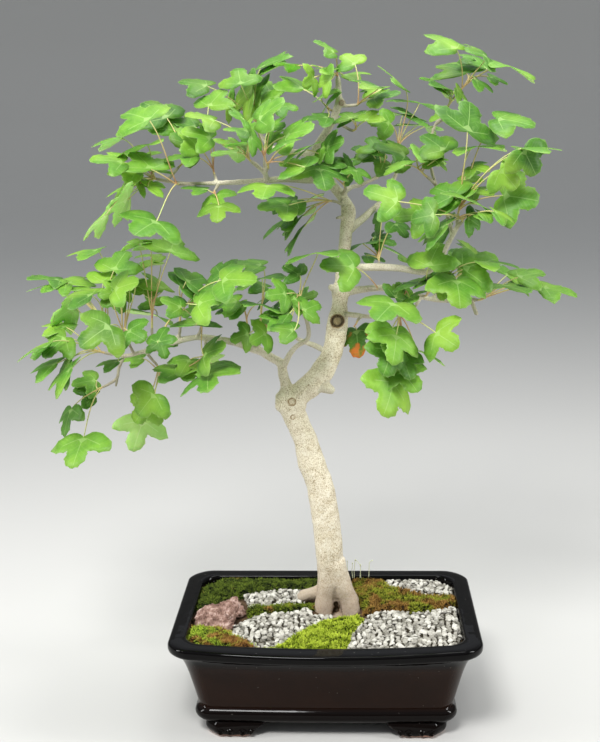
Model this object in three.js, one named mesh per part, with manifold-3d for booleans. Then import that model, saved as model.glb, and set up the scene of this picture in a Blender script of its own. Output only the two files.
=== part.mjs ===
// A maple bonsai in a glazed rectangular pot, built as an assembly of closed solids.
// Millimetres, +Z up, +X to the right of the front view, +Y to the back.
// The origin is at table height, under the middle of the whole tree and pot.

import * as THREE from "three";
import Module from "manifold-3d";

const wasm = await Module();
wasm.setup();

// ---------------------------------------------------------------- driving dimensions

// Where the pot's middle stands from the origin: the crown reaches further to the left.
const POT_CENTRE_X = 25.6;
const POT_CENTRE_Y = -17.2;

// Pot: a 12 by 8 by 4 inch rectangle with cut corners.
const POT_WIDTH = 305;
const POT_DEPTH = 203;
const POT_HEIGHT = 103;
const CORNER_CUT = 24.5;
const RIM_BOW = 12;
const INNER_RIM_BOW = 8;
const RIM_WIDTH = 17;
const FLOOR_UNDERSIDE = 13.5;
const FLOOR_TOP = 22;
const FOOT_REACH = 50;
const FOOT_WIDTH = 26;
const DRAIN_HOLE_RADIUS = 7;
const DRAIN_HOLE_X = 62;
const SCREEN_SIZE = 30;
const SCREEN_THICKNESS = 1.2;
const SCREEN_SLOTS = 3;

// Soil and what lies on it.
const SOIL_TOP = 95.5;
const GAP = 0.3;
const BED_BASE = SOIL_TOP + GAP;
const GRAVEL_BED_THICKNESS = 1.6;
const PEBBLE_SIZE = 12;
const PEBBLE_PITCH = 11.4;
const ROCK_HEIGHT = 25;

// Tree.
const TRUNK_DEPTH = 17.5;
const TRUNK_FOOT_X = 12;
const ROOT_BALL_BOTTOM = 62;
const ROOT_HOLE_RADIUS = 25;
const BLADE_THICKNESS = 0.8;
const PETIOLE_RADIUS = 0.9;
const STEM_RADIUS = 1.15;
const BUD_RADIUS = 1.9;
const TWIG_RADIUS = 1.6;
const SLIVER = 0.05;
const LEAF_LENGTH_MIN = 20;
const LEAF_LENGTH_MAX = 39;

// The viewing position from which the places of leaves and branches were measured.
// A place is written as picture column, picture row and depth: how far behind the
// pot's middle line it stands, in millimetres.
const EYE = new THREE.Vector3(26.35, -1149.8, 616.0);
const EYE_YAW = -0.043;
const EYE_PITCH = 0.225;
const EYE_ROLL = -0.015;
const FOCAL_PIXELS = 1202;
const PICTURE_MIDDLE = [300, 371];

// ---------------------------------------------------------------- viewing geometry

const AHEAD = new THREE.Vector3(
  Math.sin(EYE_YAW) * Math.cos(EYE_PITCH),
  Math.cos(EYE_YAW) * Math.cos(EYE_PITCH),
  -Math.sin(EYE_PITCH),
);
const LEVEL_RIGHT = new THREE.Vector3(Math.cos(EYE_YAW), -Math.sin(EYE_YAW), 0);
const LEVEL_UP = new THREE.Vector3().crossVectors(LEVEL_RIGHT, AHEAD);
const SIGHT_RIGHT = LEVEL_RIGHT.clone()
  .multiplyScalar(Math.cos(EYE_ROLL))
  .addScaledVector(LEVEL_UP, Math.sin(EYE_ROLL));
const SIGHT_UP = LEVEL_UP.clone()
  .multiplyScalar(Math.cos(EYE_ROLL))
  .addScaledVector(LEVEL_RIGHT, -Math.sin(EYE_ROLL));

// The point that is seen at a picture column and row and stands at the given depth.
function seenAt(column, row, depth) {
  const ray = AHEAD.clone()
    .addScaledVector(SIGHT_RIGHT, (column - PICTURE_MIDDLE[0]) / FOCAL_PIXELS)
    .addScaledVector(SIGHT_UP, (PICTURE_MIDDLE[1] - row) / FOCAL_PIXELS);
  return EYE.clone().addScaledVector(ray, (depth - EYE.y) / ray.y);
}

// Millimetres per picture pixel at a point.
function pixelSize(point) {
  return point.clone().sub(EYE).dot(AHEAD) / FOCAL_PIXELS;
}

// ---------------------------------------------------------------- solids

// A repeatable stream of numbers between 0 and 1.
function randomStream(seed) {
  let state = seed;
  return () => {
    state = (state * 1664525 + 1013904223) % 4294967296;
    return state / 4294967296;
  };
}

function solid(vertices, faces) {
  const vertProperties = new Float32Array(vertices.flatMap((v) => [v.x, v.y, v.z]));
  const triVerts = new Uint32Array(faces.flat());
  return new wasm.Manifold(new wasm.Mesh({ numProp: 3, vertProperties, triVerts }));
}

function join(solids) {
  return solids.reduce((whole, next) => whole.add(next));
}

// A closed body from triangles whose corners are shared points.
function solidOf(triangles) {
  const points = [...new Set(triangles.flat())];
  const numbers = new Map(points.map((point, i) => [point, i]));
  return solid(points, triangles.map((corners) => corners.map((point) => numbers.get(point))));
}

// The triangles between two rings of equal point counts.
function strip(from, to) {
  return from.flatMap((point, k) => {
    const next = (k + 1) % from.length;
    return [[point, from[next], to[next]], [point, to[next], to[k]]];
  });
}

function strips(rings) {
  return rings.slice(1).flatMap((ring, i) => strip(rings[i], ring));
}

// A closed body through rings of equal point counts, lowest or first ring first.
function loft(rings) {
  const fan = (ring) => ring.slice(2).map((point, k) => [ring[0], ring[k + 1], point]);
  return solidOf([...strips(rings), ...fan([...rings[0]].reverse()), ...fan(rings.at(-1))]);
}

// The same for rings that aren't convex: the end faces meet in the ring's middle.
function loftRoundMiddle(rings) {
  const fan = (ring) => {
    const middle = ring.reduce((sum, v) => sum.add(v), new THREE.Vector3()).divideScalar(ring.length);
    return ring.map((point, k) => [middle, point, ring[(k + 1) % ring.length]]);
  };
  return solidOf([...strips(rings), ...fan([...rings[0]].reverse()), ...fan(rings.at(-1))]);
}

// A ring square to an axis. Its first corner lies near the side direction, turned by the
// first angle, and the side direction is squared to the axis for the next ring.
function ringAround(centre, axis, side, radius, sides, firstAngle = 0) {
  side.addScaledVector(axis, -side.dot(axis)).normalize();
  const across = new THREE.Vector3().crossVectors(axis, side);
  return Array.from({ length: sides }, (_, k) => {
    const angle = firstAngle + (2 * Math.PI * k) / sides;
    return centre.clone()
      .addScaledVector(side, radius * Math.cos(angle))
      .addScaledVector(across, radius * Math.sin(angle));
  });
}

// A closed tube along a path, with a radius for each of its points.
function tube(path, radii, sides) {
  const side = new THREE.Vector3(0.31, 0.87, 0.13);
  return loft(path.map((point, i) => {
    const before = path[Math.max(i - 1, 0)];
    const after = path[Math.min(i + 1, path.length - 1)];
    return ringAround(point, after.clone().sub(before).normalize(), side, radii[i], sides);
  }));
}

// A squashed ball with few faces.
function ball(centre, radii, columns = 6, rows = 3) {
  const rings = [];
  for (let row = 0; row <= rows; row++) {
    const polar = Math.PI * (0.12 + (0.76 * row) / rows);
    rings.push(Array.from({ length: columns }, (_, k) => {
      const angle = (2 * Math.PI * k) / columns;
      return new THREE.Vector3(
        centre.x + radii[0] * Math.sin(polar) * Math.cos(angle),
        centre.y + radii[1] * Math.sin(polar) * Math.sin(angle),
        centre.z - radii[2] * Math.cos(polar),
      );
    }));
  }
  return loft(rings);
}

function ringAt(outline, z) {
  return outline.map(([x, y]) => new THREE.Vector3(x, y, z));
}

function box(low, high) {
  const outline = [[low[0], low[1]], [high[0], low[1]], [high[0], high[1]], [low[0], high[1]]];
  return loft([ringAt(outline, low[2]), ringAt(outline, high[2])]);
}

function post(x, y, radius, low, high, sides) {
  const outline = Array.from({ length: sides }, (_, k) => {
    const angle = (2 * Math.PI * k) / sides;
    return [x + radius * Math.cos(angle), y + radius * Math.sin(angle)];
  });
  return loft([ringAt(outline, low), ringAt(outline, high)]);
}

function meshOf(name, body, colour, roughness) {
  const data = body.getMesh();
  const indexed = new THREE.BufferGeometry();
  indexed.setAttribute("position", new THREE.BufferAttribute(data.vertProperties, data.numProp));
  indexed.setIndex(new THREE.BufferAttribute(data.triVerts, 1));
  const geometry = indexed.toNonIndexed();
  geometry.computeVertexNormals();
  const material = new THREE.MeshStandardMaterial({ color: colour, roughness, metalness: 0 });
  const mesh = new THREE.Mesh(geometry, material);
  mesh.name = name;
  return mesh;
}

// ---------------------------------------------------------------- pot

// The outer wall by height, as half width and bow of the front: underside, raised band,
// waist, sweep and lip.
const OUTER_PROFILE = [
  [FLOOR_UNDERSIDE, 119, 1.5],
  [16, 125.5, 2],
  [20, 129, 2],
  [24, 129.4, 2],
  [28, 128.4, 2],
  [31, 127, 2],
  [48, 130, 2.4],
  [64, 134, 3],
  [78, 138, 3.8],
  [87, 142.5, 4.8],
  [91, 147, 6],
  [93, 151.8, 9.5],
  [101, POT_WIDTH / 2, RIM_BOW],
  [POT_HEIGHT, 150.8, RIM_BOW],
];
const INNER_PROFILE = [
  [POT_HEIGHT + 1, POT_WIDTH / 2 - RIM_WIDTH, INNER_RIM_BOW],
  [101, POT_WIDTH / 2 - RIM_WIDTH - 0.6, INNER_RIM_BOW],
  [96, 134, INNER_RIM_BOW],
  [80, 131, 4],
  [50, 123, 2.4],
  [FLOOR_TOP, 117, 1.5],
];

// The four points of a rounded cut corner, as shares of the cut: [along the side, along the front].
const CORNER_POINTS = [[0, 1], [0.1, 0.58], [0.58, 0.1], [1, 0]];

// One level of the pot, anticlockwise: a rectangle with rounded cut corners and a bowed front.
function potOutline(halfWidth, bow) {
  const inset = POT_WIDTH / 2 - halfWidth;
  const halfDepth = POT_DEPTH / 2 - inset;
  const cut = CORNER_CUT - 0.41 * inset;
  const corner = (sideX, sideY) =>
    CORNER_POINTS.map(([u, v]) => [sideX * (halfWidth - cut * v), sideY * (halfDepth - cut * u)]);
  const frontEdge = [-0.6, -0.22, 0.22, 0.6].map((share) => {
    const x = share * (halfWidth - cut);
    return [x, -halfDepth - bow * (1 - share ** 2)];
  });
  return [
    ...corner(1, -1),
    ...corner(1, 1).reverse(),
    ...corner(-1, 1),
    ...corner(-1, -1).reverse(),
    ...frontEdge,
  ];
}

// Foot by height: [height, reach along the wall from the corner, inset of its outer face].
const FOOT_PROFILE = [
  [0, 30, 5],
  [3, 36, 2.5],
  [7, 41, 1],
  [11, FOOT_REACH, 0.3],
  [FLOOR_UNDERSIDE + 1.5, FOOT_REACH + 3, 0],
];

// A low cloud-shaped foot at one corner: two legs along the walls that meet under the cut.
function foot(sideX, sideY) {
  const [, halfWidth] = OUTER_PROFILE[0];
  const halfDepth = POT_DEPTH / 2 - (POT_WIDTH / 2 - halfWidth);
  const cut = CORNER_CUT - 0.41 * (POT_WIDTH / 2 - halfWidth);
  const leg = (reachX, reachY, inset) => {
    const outer = [
      [halfWidth - reachX, halfDepth - inset],
      [halfWidth - cut - inset, halfDepth - inset],
      [halfWidth - inset, halfDepth - cut - inset],
      [halfWidth - inset, halfDepth - reachY],
      [halfWidth - reachX, halfDepth - reachY],
    ].map(([x, y]) => [sideX * x, sideY * y]);
    return sideX * sideY < 0 ? outer : outer.reverse();
  };
  const alongX = FOOT_PROFILE.map(([z, reach, inset]) => ringAt(leg(reach, FOOT_WIDTH, inset), z));
  const alongY = FOOT_PROFILE.map(([z, reach, inset]) => ringAt(leg(FOOT_WIDTH, reach - 6, inset), z));
  return loft(alongX).add(loft(alongY));
}

function buildPot() {
  const level = ([z, half, bow]) => ringAt(potOutline(half, bow), z);
  const outside = loft(OUTER_PROFILE.map(level));
  const inside = loft([...INNER_PROFILE].reverse().map(level));
  const holes = [-DRAIN_HOLE_X, DRAIN_HOLE_X].map((x) =>
    post(x, 0, DRAIN_HOLE_RADIUS, FLOOR_UNDERSIDE - 2, FLOOR_TOP + 2, 16));
  const feet = [foot(1, 1), foot(-1, 1), foot(1, -1), foot(-1, -1)];
  return join([outside.subtract(inside), ...feet]).subtract(join(holes));
}

// A square plastic screen with long slots, flat over a drainage hole.
function buildScreen(x) {
  const low = FLOOR_TOP + GAP;
  const high = low + SCREEN_THICKNESS;
  const half = SCREEN_SIZE / 2;
  const pitch = SCREEN_SIZE / (SCREEN_SLOTS + 1);
  const opening = pitch * 0.25;
  const centres = Array.from({ length: SCREEN_SLOTS }, (_, k) => pitch * (k + 1) - half);
  const reach = half - 3;
  const openings = centres.map((u) =>
    box([x + u - opening, -reach, low - 1], [x + u + opening, reach, high + 1]));
  return box([x - half, -half, low], [x + half, half, high]).subtract(join(openings));
}

// ---------------------------------------------------------------- soil and ground cover

function buildSoil() {
  const below = INNER_PROFILE.slice(2).reverse().map(([z, half, bow], level) => {
    const height = level === 0 ? z + GAP : z;
    return ringAt(potOutline(half - 0.45, bow), Math.min(height, SOIL_TOP));
  });
  const pockets = [-DRAIN_HOLE_X, DRAIN_HOLE_X].map((x) => {
    const half = SCREEN_SIZE / 2 + GAP;
    return box([x - half, -half, FLOOR_TOP - 1], [x + half, half, FLOOR_TOP + 2 * GAP + SCREEN_THICKNESS]);
  });
  const rootHole = post(TRUNK_FOOT_X, TRUNK_DEPTH, ROOT_HOLE_RADIUS, ROOT_BALL_BOTTOM, SOIL_TOP + 1, 20);
  return loft(below).subtract(join([...pockets, rootHole]));
}

// Outlines of what covers the soil, anticlockwise, in millimetres from the pot's middle.
const MOSS_BEDS = {
  moss_back_left: [[-130, 30], [-104, 41], [-88, 43], [-50, 58], [-14, 60], [22, 56], [22, 80], [-116, 80], [-130, 62]],
  moss_middle_left: [[-80, -20], [-64, -5], [-38, -1], [-19, 8], [-19, 21], [-38, 18], [-62, 12], [-80, 14]],
  moss_front_left: [[-130, -64], [-117, -80.5], [-60, -87], [-72, -73], [-90, -59], [-108, -45], [-130, -40]],
  moss_front_middle: [[-42, -88], [20, -89], [26, -50], [38, -18], [28, -13], [4, -15], [-2, -24], [-27, -50], [-35, -70]],
  moss_right: [[42, -8], [56, 4], [94, 0], [130, 15], [130, 42], [104, 41], [90, 52], [66, 66], [60, 80], [26, 80], [28, 52], [44, 36]],
};
const GRAVEL_BEDS = {
  gravel_back_left: [[-81, 15], [-62, 13], [-38, 19], [-24, 22], [-22, 40], [-30, 56], [-50, 57], [-87, 42]],
  gravel_front_left: [[-85, -56], [-71, -72], [-58, -87], [-43, -87], [-36, -68], [-28, -48], [-3, -22], [0, -13],
    [-14, -8], [-19, 6], [-38, -2], [-64, -6], [-79, -21], [-86, -34]],
  gravel_front_right: [[22, -89], [60, -87], [117, -80.5], [130, -64], [130, 13], [94, -2], [57, 2], [43, -10],
    [40, -17], [28, -50]],
  gravel_back_right: [[62, 80], [68, 67], [91, 53], [105, 43], [130, 44], [130, 62], [116, 80]],
};
const ROCK_FOOT = [[-130, -30], [-112, -41], [-96, -36], [-85, -20], [-83, 10], [-103, 36], [-126, 24], [-131, 2]];

function middleOf(outline) {
  const sum = outline.reduce(([sx, sy], [x, y]) => [sx + x, sy + y], [0, 0]);
  return sum.map((value) => value / outline.length);
}

// The outline drawn in by a distance, each corner along its own bisector.
function drawnIn(outline, distance) {
  const count = outline.length;
  return outline.map(([x, y], i) => {
    const [bx, by] = outline[(i + count - 1) % count];
    const [ax, ay] = outline[(i + 1) % count];
    const before = new THREE.Vector2(x - bx, y - by).normalize();
    const after = new THREE.Vector2(ax - x, ay - y).normalize();
    const inward = new THREE.Vector2(-before.y - after.y, before.x + after.x);
    const share = Math.max(0.45, inward.length() / 2);
    inward.normalize().multiplyScalar(distance / share);
    return [x + inward.x, y + inward.y];
  });
}

function isInside(outline, x, y) {
  let inside = false;
  outline.forEach(([x1, y1], i) => {
    const [x2, y2] = outline[(i + 1) % outline.length];
    if ((y1 > y) !== (y2 > y) && x < ((x2 - x1) * (y - y1)) / (y2 - y1) + x1) inside = !inside;
  });
  return inside;
}

// A low cushion of moss: its edge rises steeply, its top rolls gently.
function buildMoss(outline, seed) {
  const random = randomStream(seed);
  const levels = [
    [0.5, BED_BASE, 0],
    [0.7, BED_BASE + 1.8, 0.3],
    [2.4, BED_BASE + 3.4, 0.9],
    [6, BED_BASE + 4.6, 1.4],
  ];
  return loftRoundMiddle(levels.map(([inset, z, roll]) =>
    drawnIn(outline, inset).map(([x, y]) => new THREE.Vector3(x, y, z + roll * (random() - 0.5)))));
}

// One angular crushed stone with eight faces, half sunk in the bed.
function pebble(x, y, z, random) {
  const reach = () => PEBBLE_SIZE * (0.38 + 0.16 * random());
  const turn = new THREE.Euler(3 * random(), 3 * random(), 6 * random());
  const corners = [[1, 0, 0], [0, 1, 0], [-1, 0, 0], [0, -1, 0], [0, 0, 1], [0, 0, -1]].map((axis) =>
    new THREE.Vector3(...axis).multiplyScalar(reach()).applyEuler(turn).add(new THREE.Vector3(x, y, z)));
  corners.forEach((corner) => {
    corner.z = Math.max(corner.z, BED_BASE + 0.5);
  });
  const faces = [0, 1, 2, 3].flatMap((k) => {
    const next = (k + 1) % 4;
    return [[k, next, 4], [next, k, 5]];
  });
  return solid(corners, faces);
}

// Crushed stones on a staggered grid over a thin bed, as far as they stay inside its outline.
function buildGravel(outline, seed) {
  const random = randomStream(seed);
  const edge = drawnIn(outline, 0.5);
  const reach = drawnIn(outline, PEBBLE_SIZE * 0.52);
  const bed = loftRoundMiddle([ringAt(edge, BED_BASE), ringAt(edge, BED_BASE + GRAVEL_BED_THICKNESS)]);
  const [lowX, highX] = [Math.min(...edge.map(([x]) => x)), Math.max(...edge.map(([x]) => x))];
  const [lowY, highY] = [Math.min(...edge.map(([, y]) => y)), Math.max(...edge.map(([, y]) => y))];
  const stones = [];
  const rowPitch = PEBBLE_PITCH * 0.87;
  for (let row = 0; lowY + row * rowPitch < highY; row++) {
    for (let column = 0; lowX + column * PEBBLE_PITCH < highX; column++) {
      const x = lowX + (column + (row % 2) / 2) * PEBBLE_PITCH + 2 * (random() - 0.5);
      const y = lowY + row * rowPitch + 2 * (random() - 0.5);
      const z = BED_BASE + GRAVEL_BED_THICKNESS + 0.6 + random();
      const stone = pebble(x, y, z, random);
      if (isInside(reach, x, y)) stones.push(stone);
    }
  }
  return join([bed, ...stones]).simplify(SLIVER);
}

// A wedge of porous stone: steep on the left, sloping down to the right.
function buildRock() {
  const random = randomStream(71);
  const [middleX, middleY] = middleOf(ROCK_FOOT);
  const levels = [[0, 1], [0.16, 1.03], [0.4, 0.93], [0.66, 0.76], [0.88, 0.5], [1, 0.2]];
  return loftRoundMiddle(levels.map(([rise, share], level) =>
    ROCK_FOOT.map(([x, y]) => {
      const rough = level === 0 ? 1 : 0.94 + 0.12 * random();
      const dx = (x - middleX) * share * rough;
      const dy = (y - middleY) * share * rough;
      const slope = level === 0 ? 0 : rise * (-0.09 * dx + 0.03 * dy) + 0.8 * rise * random();
      return new THREE.Vector3(middleX - 4 * rise + dx, middleY + dy, BED_BASE + ROCK_HEIGHT * rise + slope);
    })));
}

// ---------------------------------------------------------------- trunk and branches

// Points of a woody limb: [column, row, depth, radius in millimetres].
const TRUNK_LIMBS = {
  lower_trunk: [[338, 612, 17.5, 17], [335.5, 596, 17.5, 15.4], [332.5, 582, 17.5, 14.4], [330.5, 567, 17.5, 14],
    [327.5, 532, 17.5, 14], [322.5, 498, 17.5, 13.9], [319, 482, 17.5, 13.4], [312, 464, 17.5, 13.6],
    [305.5, 441, 17.5, 11.9], [300, 427, 17.5, 11.6], [294.5, 415, 17.5, 12], [290.5, 403, 17.5, 13.6],
    [288, 392, 17.5, 10]],
  upper_trunk: [[291, 404, 17.5, 10], [301, 393, 17.5, 11.4], [312, 384, 17.5, 12], [321.5, 373, 17.5, 11.6],
    [330, 358, 17.5, 10.2], [334.5, 344, 17.5, 10], [336.5, 330, 17.5, 10.2], [338.5, 317.5, 17.5, 9.8],
    [340, 304, 17.5, 7.3], [340.5, 290, 17.5, 8.6], [341, 279, 17.5, 5.8], [342, 268, 17, 5.4],
    [344, 256, 17, 5.6], [345, 243, 17, 6], [346.5, 228, 17, 6.4], [348.5, 211, 17, 6.8],
    [344, 200, 16, 5.6], [335, 188, 15, 4.6], [328, 177, 14, 4.4], [320.5, 166, 13, 4.3], [314.5, 153, 12, 4.2]],
  leader: [[313.5, 157, 12, 3], [316, 149, 12, 3.9], [322, 139, 11, 3.8], [331, 124, 10, 3.6], [336, 112, 10, 3.8],
    [339, 100, 10, 3.4], [338.5, 90, 10, 3], [338, 79, 10, 2.4]],
  lower_left: [[290, 397, 17.5, 8], [284, 379, 17, 5.2], [281, 364, 16, 4.6], [272, 358, 14, 4.3], [262, 352, 10, 4],
    [250, 348, 4, 3.6], [240, 344, -2, 3.4], [228, 341, -8, 3.2], [210, 338, -12, 3], [195, 337.5, -12, 2.9],
    [178, 341, -6, 3.1], [160, 348, 0, 2.5], [145, 351, 6, 2.3], [128, 355.5, 10, 2], [114, 354, 8, 1.7],
    [105, 353, 4, 1.5]],
  fork_inner: [[283, 368, 17, 3.4], [290, 354, 8, 2.9], [297, 346, -2, 2.5], [308, 338, -14, 2.2],
    [307, 322, -24, 1.9], [300, 306, -30, 1.6]],
  fork_back: [[328, 353, 20, 3.4], [318, 347, 34, 2.8], [305, 342, 50, 2.4], [296, 338, 62, 1.9]],
  upper_left_back: [[315, 154, 13, 4], [300, 153, 24, 3.2], [285, 150.5, 36, 2.8], [271, 147, 48, 2.4],
    [263, 138, 58, 2], [257, 127, 64, 1.7]],
  upper_left_front: [[328, 178, 13, 4], [310, 180, 4, 3.5], [290, 179, -8, 3.2], [277, 179.5, -14, 3],
    [266, 180.5, -18, 2.8], [241, 182, -18, 2.4], [218, 183, -14, 2.2], [200, 183.6, -10, 1.9],
    [184, 183.6, -7, 1.7], [167, 181, -8, 1.5]],
  upper_left_bow: [[267, 180, -18, 2.6], [264.6, 173, -24, 2.3], [257.5, 166, -32, 2], [251, 161, -38, 1.7]],
  right_behind: [[345, 191, 16, 2.6], [352, 187, 30, 2.3], [361, 184.6, 46, 2.1], [378, 177, 68, 1.7]],
  right_thick: [[346, 233, 17, 5], [353, 226, 24, 4.3], [361, 220, 34, 3.7], [370, 212, 46, 3.3],
    [379.5, 203, 60, 2.9], [389, 190, 76, 2.3], [397, 170, 88, 1.9], [398, 154, 92, 1.6]],
  right_upper: [[344, 268, 15, 4.4], [357, 267.5, 8, 3.8], [380, 267, -4, 3.5], [401, 268.5, -16, 3.3],
    [426, 272, -30, 2.7], [440, 261, -36, 2.4], [448, 244, -36, 2.3], [457, 227, -32, 2.1], [458, 216, -30, 1.8]],
  right_riser: [[452, 236, -34, 2.1], [449, 220, -8, 1.9], [440, 197, 16, 1.8], [432, 172, 36, 1.7],
    [429, 150, 48, 1.6], [434, 128, 54, 1.5], [441, 117, 52, 1.4]],
  right_middle: [[348, 291.5, 17, 4.2], [365, 289, 22, 3.4], [383, 288, 28, 3.1], [400, 290.5, 34, 2.9],
    [407, 293, 36, 2.8], [422, 297, 40, 2.5], [436, 300, 46, 2.1], [452, 301, 50, 1.9], [470, 299, 50, 1.8],
    [477, 300, 48, 1.6]],
  right_lower: [[346, 314, 13, 3], [358, 315.5, 0, 2.4], [370, 316.5, -16, 2], [386, 316, -32, 1.8],
    [398, 315, -42, 1.6]],
};

// Short spurs, cut stubs and thin woody twigs, by where they leave the limb and end.
const TWIGS = {
  fork_stub: [[321, 383, 14, 5], [331, 391, 12, 3.2]],
  trunk_stub_left: [[338, 290, 16, 4.5], [330.5, 287, 12, 3]],
  far_right_stub: [[471, 300, 50, 2.1], [476.5, 314, 46, 2]],
  right_middle_stub: [[421, 297, 40, 2.2], [415, 307, 34, 1.6]],
  left_spur: [[119, 368, 14, 1.7], [116, 386, 10, 1.2]],
  left_bud: [[178, 342, -6, 3.4], [178, 336, -8, 2.2]],
  fan_spur: [[265.5, 175, -23, 2.2], [264.8, 159, -18, 1.6]],
  trunk_thorn: [[344, 217, 14, 2.4], [336, 218, 8, 1]],
};

// Surface roots: [angle in degrees, reach beyond the trunk at soil level].
const ROOT_TOES = [[-118, 7.5], [-62, 9], [-20, 6], [38, 5], [112, 6], [158, 7]];
const TOE_SPREAD = 24;

function toeReach(angle) {
  return ROOT_TOES.reduce((reach, [degrees, size]) => {
    const away = Math.abs(((angle * 180) / Math.PI - degrees + 540) % 360 - 180);
    return reach + size * Math.exp(-((away / TOE_SPREAD) ** 2));
  }, 0);
}

// Trunk foot by height: [height, radius between the toes, share of the toes, lean to the left].
const FOOT_RINGS = [
  [ROOT_BALL_BOTTOM + GAP, 20, 0, 0],
  [SOIL_TOP - 3, 24, 0, 0],
  [SOIL_TOP + 0.4, 19.5, 0.5, 0],
  [SOIL_TOP + 1.4, 18.6, 1, 0],
  [SOIL_TOP + 5, 17.4, 0.86, 0],
  [SOIL_TOP + 11, 15.8, 0.56, 0.8],
  [SOIL_TOP + 20, 14.3, 0.28, 2],
  [SOIL_TOP + 32, 12.6, 0.1, 4],
];

function buildTrunkFoot() {
  const sides = 16;
  return loftRoundMiddle(FOOT_RINGS.map(([z, radius, share, lean]) =>
    Array.from({ length: sides }, (_, k) => {
      const angle = (2 * Math.PI * k) / sides;
      const reach = radius + share * toeReach(angle);
      return new THREE.Vector3(
        TRUNK_FOOT_X - lean + reach * Math.cos(angle),
        TRUNK_DEPTH + reach * Math.sin(angle),
        z,
      );
    })));
}

function sidesFor(radius) {
  if (radius > 9) return 10;
  if (radius > 3.6) return 6;
  return radius > 2.4 ? 5 : 4;
}

function limb(points) {
  const path = points.map(([column, row, depth]) => seenAt(column, row, depth));
  const radii = points.map(([, , , radius]) => radius);
  return tube(path, radii, sidesFor(Math.max(...radii)));
}

// The woody twig that carries a spray. It ends square to the spray's stem.
function carryingTwig({ twig, stem }) {
  const path = twig.map((place) => seenAt(...place));
  const ahead = seenAt(...stem).sub(path.at(-1)).normalize();
  path.push(path.at(-1).clone().addScaledVector(ahead, 1.6));
  return tube(path, path.map(() => TWIG_RADIUS), 3);
}

function buildTrunk() {
  const parts = [buildTrunkFoot()];
  Object.values(TRUNK_LIMBS).forEach((points) => parts.push(limb(points)));
  Object.values(TWIGS).forEach((points) => parts.push(limb(points)));
  Object.values(SPRAYS).forEach((spray) => parts.push(carryingTwig(spray)));
  parts.push(ball(seenAt(291, 401, 17.5), [14.5, 13.5, 14]));
  parts.push(ball(seenAt(341.5, 103, 5), [5, 4.6, 5]));
  const scar = seenAt(337.5, 321, 9);
  const hollow = scar.clone().add(new THREE.Vector3(0, -6.5, 0.5));
  const whole = join(parts).add(ball(scar, [8.6, 6.4, 11]));
  return whole.subtract(ball(hollow, [4.6, 4, 6.6])).simplify(SLIVER);
}

// ---------------------------------------------------------------- leafy sprays

// Which side of a blade the viewer sees.
const UPPER = 1;
const UNDER = -1;

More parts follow.
